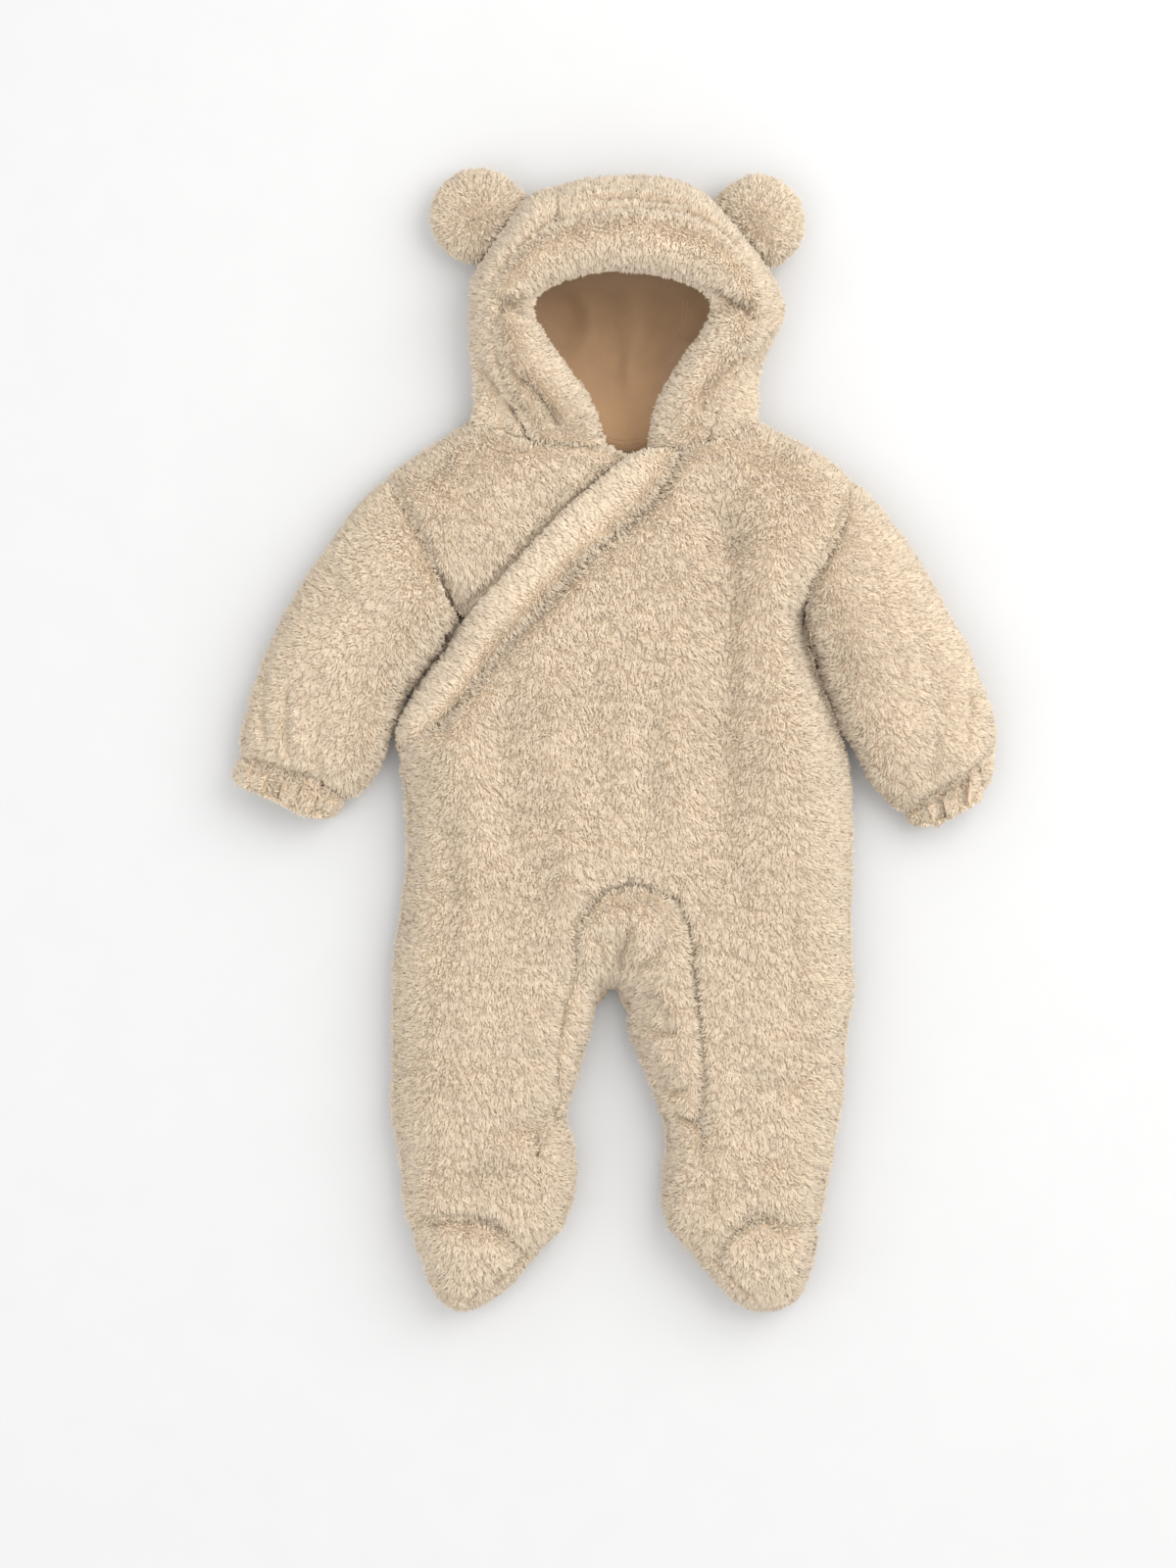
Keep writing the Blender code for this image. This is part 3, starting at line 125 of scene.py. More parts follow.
@dataclass(frozen=True)
class Nudge:
    """A sideways push of the cloth round a place in the photograph, as far as its radius."""

    place: Place
    push: Place
    radius: float

    def move(self, points: np.ndarray) -> np.ndarray:
        """How far each point moves in plan.

        Args:
            points: plan positions in millimetres, one row each.

        Returns:
            The movement in millimetres, one row each.
        """
        away = np.linalg.norm(points - np.array(plan(*self.place)), axis=1)
        return np.exp(-((away / self.radius) ** 2))[:, None] * np.array(self.push)


@dataclass(frozen=True)
class Swell:
    """Slow unevenness of hand-laid cloth: a sum of soft waves in all directions."""

    size: float
    amount: float
    seed: int
    waves: int = 14
    shortest: float = 0.7
    longest: float = 1.5

    def at(self, points: np.ndarray) -> np.ndarray:
        """The rise at each point.

        Args:
            points: positions in metres, one row each.

        Returns:
            The rise in metres, mostly within plus and minus the amount.
        """
        rng = np.random.default_rng(self.seed)
        turns = rng.normal(size=(self.waves, 3))
        turns /= np.linalg.norm(turns, axis=1, keepdims=True)
        sizes = self.size * MM * rng.uniform(self.shortest, self.longest, self.waves)
        phases = rng.uniform(0, 2 * np.pi, self.waves)
        waves = np.sin(points @ (turns / sizes[:, None]).T * 2 * np.pi + phases)
        return waves.sum(axis=1) * self.amount * MM / math.sqrt(self.waves)


@dataclass
class Wiring:
    """Adds nodes to a node tree and joins them."""

    tree: bpy.types.NodeTree

    def node(self, kind: str, inputs: dict | None = None, **settings: object) -> bpy.types.Node:
        """Adds one node.

        Args:
            kind: the node's type name.
            inputs: its inputs by name or number, each a value or a socket to take it from.
            settings: its properties.

        Returns:
            The new node.
        """
        made = self.tree.nodes.new(kind)
        for name, value in settings.items():
            setattr(made, name, value)
        for key, value in (inputs or {}).items():
            if isinstance(value, bpy.types.NodeSocket):
                self.tree.links.new(value, made.inputs[key])
            else:
                made.inputs[key].default_value = value
        return made

    def given(self) -> Sockets:
        """The inputs of this group, by name."""
        return {socket.name: socket for socket in self.node("NodeGroupInput").outputs}

    def math(self, operation: str, *values: Value) -> bpy.types.NodeSocket:
        """The result of a Math node on these values or sockets."""
        return self.node("ShaderNodeMath", dict(enumerate(values)), operation=operation).outputs[0]

    def vector(self, operation: str, *values: Value) -> bpy.types.NodeSocket:
        """The result of a Vector Math node on these vectors or sockets."""
        made = self.node("ShaderNodeVectorMath", dict(enumerate(values)), operation=operation)
        return made.outputs["Vector"]

    def scaled(self, vector: bpy.types.NodeSocket, by: bpy.types.NodeSocket) -> bpy.types.NodeSocket:
        """The vector times a number."""
        return self.node("ShaderNodeVectorMath", {0: vector, "Scale": by}, operation="SCALE").outputs[0]

    def joined(self, x: Value, y: Value, z: Value) -> bpy.types.NodeSocket:
        """A vector from three numbers or sockets."""
        return self.node("ShaderNodeCombineXYZ", {0: x, 1: y, 2: z}).outputs[0]

    def mix(self, share: bpy.types.NodeSocket, low: Colour, high: Colour) -> bpy.types.NodeSocket:
        """A colour between two colours."""
        inputs = {0: share, 6: (*low, 1), 7: (*high, 1)}
        return self.node("ShaderNodeMix", inputs, data_type="RGBA").outputs[2]

    def noise(self, scale: Value, detail: float = 2.0) -> bpy.types.NodeSocket:
        """Soft noise, from 0 to 1, over the piece's own coordinates."""
        place = self.node("ShaderNodeTexCoord").outputs["Object"]
        inputs = {"Vector": place, "Scale": scale, "Detail": detail}
        return self.node("ShaderNodeTexNoise", inputs).outputs[0]

    def attribute(self, name: str, output: str = "Fac") -> bpy.types.NodeSocket:
        """What a material reads from the piece's attribute of this name."""
        return self.node("ShaderNodeAttribute", attribute_name=name).outputs[output]


def new_group(name: str, kind: str, inputs: dict[str, tuple], outputs: dict[str, str]) -> Wiring:
    """An empty node group with named sockets.

    Args:
        name: the group's name.
        kind: "GeometryNodeTree" or "ShaderNodeTree".
        inputs: for each input, its socket type's last word and its default value.
        outputs: for each output, its socket type's last word.

    Returns:
        The wiring of the new group.
    """
    tree = bpy.data.node_groups.new(name, kind)
    for label, (socket, value) in inputs.items():
        made = tree.interface.new_socket(label, in_out="INPUT", socket_type=f"NodeSocket{socket}")
        if value is not None:
            made.default_value = value
    for label, socket in outputs.items():
        tree.interface.new_socket(label, in_out="OUTPUT", socket_type=f"NodeSocket{socket}")
    return Wiring(tree)


def plain_mesh(obj: bpy.types.Object) -> bpy.types.Mesh:
    """Turns an object, with its modifiers, into a plain mesh.

    Args:
        obj: the object, which stays as it is.

    Returns:
        A new mesh with all of the evaluated mesh's attributes.
    """
    bpy.context.view_layer.update()
    graph = bpy.context.evaluated_depsgraph_get()
    return bpy.data.meshes.new_from_object(
        obj.evaluated_get(graph), preserve_all_data_layers=True, depsgraph=graph
    )


def link(name: str, mesh: bpy.types.Mesh) -> bpy.types.Object:
    """Adds a mesh to the scene.

    Args:
        name: the name of the mesh and its object.
        mesh: the mesh.

    Returns:
        The new object, at the origin.
    """
    mesh.name = name
    obj = bpy.data.objects.new(name, mesh)
    bpy.context.scene.collection.objects.link(obj)
    return obj


def discard(obj: bpy.types.Object) -> None:
    """Removes a helper object and its mesh.

    Args:
        obj: the helper.
    """
    mesh = obj.data
    bpy.data.objects.remove(obj)
    bpy.data.meshes.remove(mesh)


def form_of(mesh: bpy.types.Mesh) -> tuple[np.ndarray, np.ndarray]:
    """Reads a mesh's form.

    Args:
        mesh: the mesh.

    Returns:
        The positions of its points in metres, and the way that each faces, one row each.
    """
    points = np.empty(len(mesh.vertices) * 3)
    mesh.vertices.foreach_get("co", points)
    normals = np.empty(len(mesh.vertices) * 3)
    mesh.vertex_normals.foreach_get("vector", normals)
    return points.reshape(-1, 3), normals.reshape(-1, 3)


def lay(mesh: bpy.types.Mesh, points: np.ndarray, rest: float) -> None:
    """Moves a mesh's points, none of them lower than where it rests.

    Args:
        mesh: the mesh.
        points: the new positions in metres, one row each.
        rest: the least height in millimetres.
    """
    points[:, 2] = np.maximum(points[:, 2], rest * MM)
    mesh.vertices.foreach_set("co", points.ravel())
    mesh.update()


def keep(mesh: bpy.types.Mesh, name: str, kind: str, values: np.ndarray) -> None:
    """Keeps a number or vector for each point of a mesh.

    Args:
        mesh: the mesh.
        name: the attribute's name.
        kind: "FLOAT" or "FLOAT_VECTOR".
        values: one number or row for each point.
    """
    made = mesh.attributes.new(name, kind, "POINT")
    made.data.foreach_set("vector" if kind == "FLOAT_VECTOR" else "value", values.astype("f").ravel())


def shell_of(
    helper: bpy.types.Object, name: str, wall: float, finish: bpy.types.Material
) -> bpy.types.Object:
    """A thin closed shell below a helper's face.

    Args:
        helper: the object whose mesh is the outer face.
        name: the shell's name.
        wall: its thickness in millimetres.
        finish: its material.

    Returns:
        The shell as a new object.
    """
    thick = helper.modifiers.new("wall", "SOLIDIFY")
    thick.thickness = wall * MM
    thick.offset = -1
    mesh = plain_mesh(helper)
    helper.modifiers.remove(thick)
    mesh.materials.clear()
    mesh.materials.append(finish)
    mesh.shade_smooth()
    return link(name, mesh)


@dataclass(frozen=True)
class Pile:
    """The fur on one piece: how long, thick, close and combed its locks are, and how they clump."""

    length: float = 4.3
    thickness: float = 0.98
    spacing: float = 0.65
    lean: float = 1.8
    clump: float = 3.9
    pull: float = 0.28
    jitter: float = 0.4
    crevice: float = 0.28
    stretch: tuple[float, float, float] = (1.0, 0.6, 1.0)
    seed: int = 1


@dataclass(frozen=True)
class Lock:
    """One curled lock of fur, as a leaf that is bent across its middle: root down, tip curled over.

    It is one unit long and wide. Its shades go from 0 at the root to 1 at the tip; the fur's material paints
    the root darker from them, as painted shade deep in the pile.
    """

    root: tuple[float, float, float] = (0.0, 0.0, -0.05)
    left: tuple[float, float, float] = (-0.5, 0.22, 0.5)
    right: tuple[float, float, float] = (0.5, 0.3, 0.44)
    tip: tuple[float, float, float] = (0.1, -0.32, 1.0)
    shades: tuple[float, ...] = (0.0, 0.65, 0.65, 1.0)

    def build(self) -> bpy.types.Object:
        """Makes the lock.

        Returns:
            An object that isn't linked to the scene, with its shades as the attribute "tip".
        """
        mesh = bpy.data.meshes.new("fur_lock")
        mesh.from_pydata([self.root, self.left, self.right, self.tip], [], [(0, 1, 2), (1, 3, 2)])
        mesh.shade_smooth()
        keep(mesh, "tip", "FLOAT", np.array(self.shades))
        return bpy.data.objects.new("fur_lock", mesh)


class Draw(Enum):
    """The random draws for each lock, by what is added to the pile's seed."""

    SHAKE = 3
    LENGTH = 11
    THICKNESS = 17
    SHADE = 23


@dataclass
class PileTree:
    """The Geometry Nodes tree that grows locks of fur on a cloth.

    The cloth carries three attributes: "cover" (how much of the pile grows here), "combed" (the way it is
    combed) and "height" (how long it is here).
    """

    INPUTS = {
        "Cloth": ("Geometry", None),
        "Lock": ("Object", None),
        "Material": ("Material", None),
        "Spacing": ("Float", 0.001),
        "Length": ("Float", 0.005),
        "Thickness": ("Float", 0.0017),
        "Lean": ("Float", 0.9),
        "Clump": ("Float", 0.006),
        "Pull": ("Float", 0.9),
        "Jitter": ("Float", 0.5),
        "Crevice": ("Float", 0.4),
        "Stretch": ("Vector", (1.0, 1.0, 1.0)),
        "Floor": ("Float", 0.0003),
        "Seed": ("Int", 1),
    }

    throng: float = 3.0
    wander_scale: float = 130.0
    wander: float = 2.0
    border: tuple[float, float] = (0.3, 0.62)
    lengths: tuple[float, float] = (0.7, 1.2)
    thicknesses: tuple[float, float] = (0.7, 1.25)
    wiring: Wiring = field(init=False)

    def __post_init__(self) -> None:
        """Builds the tree: scatters, clumps, turns and sizes the locks, and keeps them off the floor."""
        self.wiring = w = new_group("Grow pile", "GeometryNodeTree", self.INPUTS, {"Pile": "Geometry"})
        given = w.given()
        place = w.node("GeometryNodeInputPosition").outputs[0]
        roots = self._scatter(given)
        facing = roots.outputs["Normal"]
        pull, border = self._clump(given, place)
        lock = w.node("GeometryNodeObjectInfo", {"Object": given["Lock"], "As Instance": True})
        locks = w.node(
            "GeometryNodeInstanceOnPoints",
            {
                "Points": roots.outputs["Points"],
                "Instance": lock.outputs["Geometry"],
                "Rotation": self._turn(given, facing, pull),
                "Scale": self._size(given, border),
            },
        ).outputs[0]
        shade = self._random(0.0, 1.0, given["Seed"], Draw.SHADE)
        # The crevice mark, near the clumps' borders, also lets the fur's material paint shade into the
        # crevices.
        for name, kind, value in (
            ("shade", "FLOAT", shade),
            ("crevice", "FLOAT", border),
            ("facing", "FLOAT_VECTOR", facing),
        ):
            marks = {"Geometry": locks, "Name": name, "Value": value}
            marked = w.node("GeometryNodeStoreNamedAttribute", marks, data_type=kind, domain="INSTANCE")
            locks = marked.outputs[0]
        real = w.node("GeometryNodeRealizeInstances", {0: locks}).outputs[0]
        parts = w.node("ShaderNodeSeparateXYZ", {0: place}).outputs
        raised = w.joined(parts[0], parts[1], w.math("MAXIMUM", parts[2], given["Floor"]))
        kept = w.node("GeometryNodeSetPosition", {"Geometry": real, "Position": raised}).outputs[0]
        done = w.node("GeometryNodeSetMaterial", {"Geometry": kept, "Material": given["Material"]})
        w.node("NodeGroupOutput", {0: done.outputs[0]})

    def _named(self, name: str, kind: str) -> bpy.types.NodeSocket:
        """The cloth's attribute of this name."""
        node = self.wiring.node("GeometryNodeInputNamedAttribute", {"Name": name}, data_type=kind)
        return node.outputs["Attribute"]

    def _random(
        self,
        low: float | tuple[float, float, float],
        high: float | tuple[float, float, float],
        seed: bpy.types.NodeSocket,
        draw: Draw,
    ) -> bpy.types.NodeSocket:
        """A random number or vector for each lock.

        Args:
            low: the least number or vector.
            high: the most.
            seed: the pile's seed.
            draw: which of the lock's draws this is.

        Returns:
            The socket of the number or vector.
        """
        vector = isinstance(low, tuple)
        first = 0 if vector else 2
        own_seed = self.wiring.math("ADD", seed, float(draw.value))
        inputs = {first: low, first + 1: high, "Seed": own_seed}
        kind = "FLOAT_VECTOR" if vector else "FLOAT"
        return self.wiring.node("FunctionNodeRandomValue", inputs, data_type=kind).outputs[0 if vector else 1]

    def _scatter(self, given: Sockets) -> bpy.types.Node:
        """Scatters the roots over the cloth, at least the spacing apart.

        Args:
            given: the group's inputs.

        Returns:
            The node that scatters them.
        """
        w = self.wiring
        patch = w.math("MULTIPLY", given["Spacing"], given["Spacing"])
        return w.node(
            "GeometryNodeDistributePointsOnFaces",
            {
                "Mesh": given["Cloth"],
                "Distance Min": given["Spacing"],
                "Density Max": w.math("DIVIDE", self.throng, patch),
                "Density Factor": self._named("cover", "FLOAT"),
                "Seed": given["Seed"],
            },
            distribute_method="POISSON",
        )

    def _clump(
        self, given: Sockets, place: bpy.types.NodeSocket
    ) -> tuple[bpy.types.NodeSocket, bpy.types.NodeSocket]:
        """Gathers the locks into clumps round scattered hearts.

        Args:
            given: the group's inputs.
            place: each root's position.

        Returns:
            The pull toward the clump's heart, and how near the clump's border the lock stands.
        """
        w = self.wiring
        wander = w.node("ShaderNodeTexNoise", {"Vector": place, "Scale": self.wander_scale, "Detail": 1.0})
        aside = w.vector("SUBTRACT", wander.outputs["Color"], (0.5, 0.5, 0.5))
        strayed = w.vector("ADD", place, w.scaled(aside, w.math("MULTIPLY", given["Clump"], self.wander)))
        stretched = w.vector("MULTIPLY", strayed, given["Stretch"])
        scale = w.math("DIVIDE", 1.0, given["Clump"])
        cell = w.node("ShaderNodeTexVoronoi", {"Vector": stretched, "Scale": scale}, feature="F1").outputs
        inward = w.vector("SUBTRACT", w.vector("DIVIDE", cell["Position"], given["Stretch"]), strayed)
        reach = w.math("MULTIPLY", given["Clump"], 0.5)
        pull = w.scaled(inward, w.math("DIVIDE", given["Pull"], reach))
        near, far = self.border
        border = w.node(
            "ShaderNodeMapRange", {0: cell["Distance"], 1: near, 2: far}, interpolation_type="SMOOTHSTEP"
        )
        return pull, border.outputs[0]

    def _turn(
        self, given: Sockets, facing: bpy.types.NodeSocket, pull: bpy.types.NodeSocket
    ) -> bpy.types.NodeSocket:
        """Turns each lock: up from the cloth, combed, pulled to its clump and shaken.

        Args:
            given: the group's inputs.
            facing: the way that the cloth faces.
            pull: the pull toward the clump's heart.

        Returns:
            The lock's rotation.
        """
        w = self.wiring
        comb = w.scaled(self._named("combed", "FLOAT_VECTOR"), given["Lean"])
        shake = self._random((-1.0, -1.0, -1.0), (1.0, 1.0, 1.0), given["Seed"], Draw.SHAKE)
        aim = w.vector("ADD", w.vector("ADD", facing, comb), pull)
        aim = w.vector("ADD", aim, w.scaled(shake, given["Jitter"]))
        upright = w.node("FunctionNodeAlignRotationToVector", {"Vector": aim}, axis="Z", pivot_axis="AUTO")
        curled = w.node(
            "FunctionNodeAlignRotationToVector",
            {"Rotation": upright.outputs[0], "Vector": facing},
            axis="Y",
            pivot_axis="Z",
        )
        return curled.outputs[0]

    def _size(self, given: Sockets, border: bpy.types.NodeSocket) -> bpy.types.NodeSocket:
        """Sizes each lock: shorter where the cloth says so and at its clump's border.

        Args:
            given: the group's inputs.
            border: how near the clump's border the lock stands.

        Returns:
            The lock's scale.
        """
        w = self.wiring
        long = w.math("MULTIPLY", given["Length"], self._random(*self.lengths, given["Seed"], Draw.LENGTH))
        long = w.math("MULTIPLY", long, self._named("height", "FLOAT"))
        long = w.math("MULTIPLY", long, w.math("SUBTRACT", 1.0, w.math("MULTIPLY", border, given["Crevice"])))
        broad = self._random(*self.thicknesses, given["Seed"], Draw.THICKNESS)
        wide = w.math("MULTIPLY", given["Thickness"], broad)
        return w.joined(wide, wide, long)

    def grow(
        self, cloth: bpy.types.Object, pile: Pile, lock: bpy.types.Object, fur: bpy.types.Material
    ) -> bpy.types.Mesh:
        """Grows a pile on a cloth.

        Args:
            cloth: the cloth's outer face, with its attributes.
            pile: how the fur is made.
            lock: the lock that is repeated.
            fur: the locks' material.

        Returns:
            The locks as one plain mesh.
        """
        grown = cloth.modifiers.new("pile", "NODES")
        grown.node_group = self.wiring.tree
        values = {
            "Lock": lock,
            "Material": fur,
            "Spacing": pile.spacing * MM,
            "Length": pile.length * MM,
            "Thickness": pile.thickness * MM,
            "Lean": pile.lean,
            "Clump": pile.clump * MM,
            "Pull": pile.pull,
            "Jitter": pile.jitter,
            "Crevice": pile.crevice,
            "Stretch": pile.stretch,
            "Seed": pile.seed,
        }
        for item in self.wiring.tree.interface.items_tree:
            if item.in_out == "INPUT" and item.name in values:
                grown[item.identifier] = values[item.name]
        mesh = plain_mesh(cloth)
        cloth.modifiers.remove(grown)
        return mesh


@dataclass
class Outside:
    """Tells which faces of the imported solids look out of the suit, and lifts them off as a skin.

    The rings are the tilts, in radians, and the numbers of the rays that look out of a face. The reach and
    the clearance are metres, and so are the seam allowances, outward and inward.
    """

    rings: tuple[tuple[float, int], ...] = ((0.0, 1), (0.6, 6), (1.15, 7))
    reach: float = 0.8
    clear: float = 0.0008
    allowance_out: float = 0.0034
    allowance_in: float = 0.0022
    merge: float = 1e-5
    flat_within: float = math.radians(50)
    square_within: float = math.radians(70)
    scrap: float = 0.2
    tree: BVHTree = field(init=False)

    def __post_init__(self) -> None:
        """Gathers every solid into one tree of faces."""
        points, faces = [], []
        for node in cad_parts.values():
            mesh = node.data
            mesh.calc_loop_triangles()
            start = len(points)
            points += [v.co.copy() for v in mesh.vertices]
            faces += [[start + i for i in tri.vertices] for tri in mesh.loop_triangles]
        self.tree = BVHTree.FromPolygons(points, faces)

    def openness(self, centre: Vector, normal: Vector) -> float:
        """The share of the ways out of a face that meet nothing.

        Args:
            centre: the face's middle.
            normal: the way it faces.

        Returns:
            A number from 0, shut in, to 1, open all round.
        """
        start = centre + normal * self.clear
        side = normal.orthogonal().normalized()
        other = normal.cross(side)
        free, rays = 0, 0
        for tilt, count in self.rings:
            for i in range(count):
                turn = 2 * math.pi * (i + tilt) / count
                ray = normal * math.cos(tilt)
                ray = ray + (side * math.cos(turn) + other * math.sin(turn)) * math.sin(tilt)
                free += self.tree.ray_cast(start, ray, self.reach)[0] is None
                rays += 1
        return free / rays

    def skin(self, node: str, levels: int, least: float, spread: float = 1.0) -> bpy.types.Object:
        """The outer face of a node's solid, as a smooth mesh of finer faces.

        Args:
            node: the node's name.
            levels: how many times its faces are split.
            least: how open a face has to be to be kept.
            spread: how far its seam allowances reach out, as a share of the usual.

        Returns:
            A helper object with the new mesh.
        """
        bm = bmesh.new()
        bm.from_mesh(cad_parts[node].data)
        bmesh.ops.remove_doubles(bm, verts=bm.verts, dist=self.merge)
        shut = [f for f in bm.faces if self.openness(f.calc_center_median(), f.normal) < least]
        bmesh.ops.delete(bm, geom=shut, context="FACES")
        self._drop_scraps(bm)
        self._turn_in(bm, spread)
        bmesh.ops.join_triangles(
            bm,
            faces=bm.faces,
            angle_face_threshold=self.flat_within,
            angle_shape_threshold=self.square_within,
        )
        mesh = bpy.data.meshes.new(node)
        bm.to_mesh(mesh)
        bm.free()
        coarse = link("helper", mesh)
        split = coarse.modifiers.new("finer", "SUBSURF")
        split.levels = split.render_levels = levels
        fine = plain_mesh(coarse)
        discard(coarse)
        return link("helper", fine)

    def _turn_in(self, bm: bmesh.types.BMesh, spread: float) -> None:
        """Turns the raw edges in along the seams, as a seam allowance.

        Args:
            bm: the skin's faces, which gain the allowance.
            spread: how far it reaches out, as a share of the usual.
        """
        bm.normal_update()
        edges = [e for e in bm.edges if e.is_boundary]
        outward = {}
        for edge in edges:
            face = edge.link_faces[0]
            across = (edge.verts[1].co - edge.verts[0].co).cross(face.normal)
            if across.dot(edge.verts[0].co - face.calc_center_median()) < 0:
                across.negate()
            for vert in edge.verts:
                outward[vert] = outward.get(vert, Vector()) + across.normalized() / 2
        moves = {
            tuple(v.co): out * self.allowance_out * spread * out.length - v.normal * self.allowance_in
            for v, out in outward.items()
        }
        for vert in bmesh.ops.extrude_edge_only(bm, edges=edges)["geom"]:
            if isinstance(vert, bmesh.types.BMVert):
                vert.co = vert.co + moves[tuple(vert.co)]
                vert.co.z = max(vert.co.z, self.clear)

    def _drop_scraps(self, bm: bmesh.types.BMesh) -> None:
        """Deletes every loose part that is far smaller than the largest one.

        Args:
            bm: the skin's faces.
        """
        left = set(bm.faces)
        parts = []
        while left:
            part, front = [], [left.pop()]
            while front:
                face = front.pop()
                part.append(face)
                for edge in face.edges:
                    for other in edge.link_faces:
                        if other in left:
                            left.remove(other)
                            front.append(other)
            parts.append(part)
        areas = [sum(f.calc_area() for f in part) for part in parts]
        least = self.scrap * max(areas)
        scraps = [f for part, area in zip(parts, areas) if area < least for f in part]
        bmesh.ops.delete(bm, geom=scraps, context="FACES")


class Nap(Enum):
    """Which way a pile is combed."""

    ALONG = "one way"
    AWAY = "away from a place"


@dataclass(frozen=True)
class Comb:
    """The nap of one piece: a plan direction, or a place in the photograph that it lies away from.

    Nearer to that place than the eye, the lean dies away.
    """

    nap: Nap = Nap.ALONG
    toward: Place = (0.0, -0.45)
    strength: float = 1.0
    eye: float = 12.0

    def at(self, points: np.ndarray) -> np.ndarray:
        """The way the locks lean at each point.

        Args:
            points: positions in metres, one row each.

        Returns:
            One vector for each point, flat in plan.
        """
        lean = np.zeros((len(points), 3))
        if self.nap is Nap.ALONG:
            lean[:, :2] = self.toward
        else:
            away = points[:, :2] / MM - np.array(plan(*self.toward))
            lean[:, :2] = away / np.maximum(np.linalg.norm(away, axis=1, keepdims=True), self.eye)
        return lean * self.strength


@dataclass(frozen=True)
class Region:
    """A rectangle of the plan, in millimetres, whose pile is one piece of the scene."""

    name: str
    left: float = -400.0
    right: float = 400.0
    low: float = -500.0
    high: float = 500.0

    def holds(self, centres: np.ndarray) -> np.ndarray:
        """Which of these places, in metres, lie in it."""
        x, y = centres[:, 0] / MM, centres[:, 1] / MM
        return (x >= self.left) & (x < self.right) & (y >= self.low) & (y < self.high)


@dataclass(frozen=True)
class Cloth:
    """One cut piece of faux fur: its node, its flat cut, its creases and its pile.

    The flat is the width and length of its cut, and the area is that of the cut itself. Faces of the solid
    that are less open than the least are inside the suit, and aren't dressed.
    """

    node: str
    flat: tuple[float, float]
    area: float
    creases: tuple[Crease, ...] = ()
    nudges: tuple[Nudge, ...] = ()
    comb: Comb = Comb()
    pile: Pile = Pile()
    regions: tuple[Region, ...] = (Region("pile"),)
    levels: int = 2
    spread: float = 1.0
    least: float = 0.2
    unevenness: float = 0.5
    fill: float | None = None


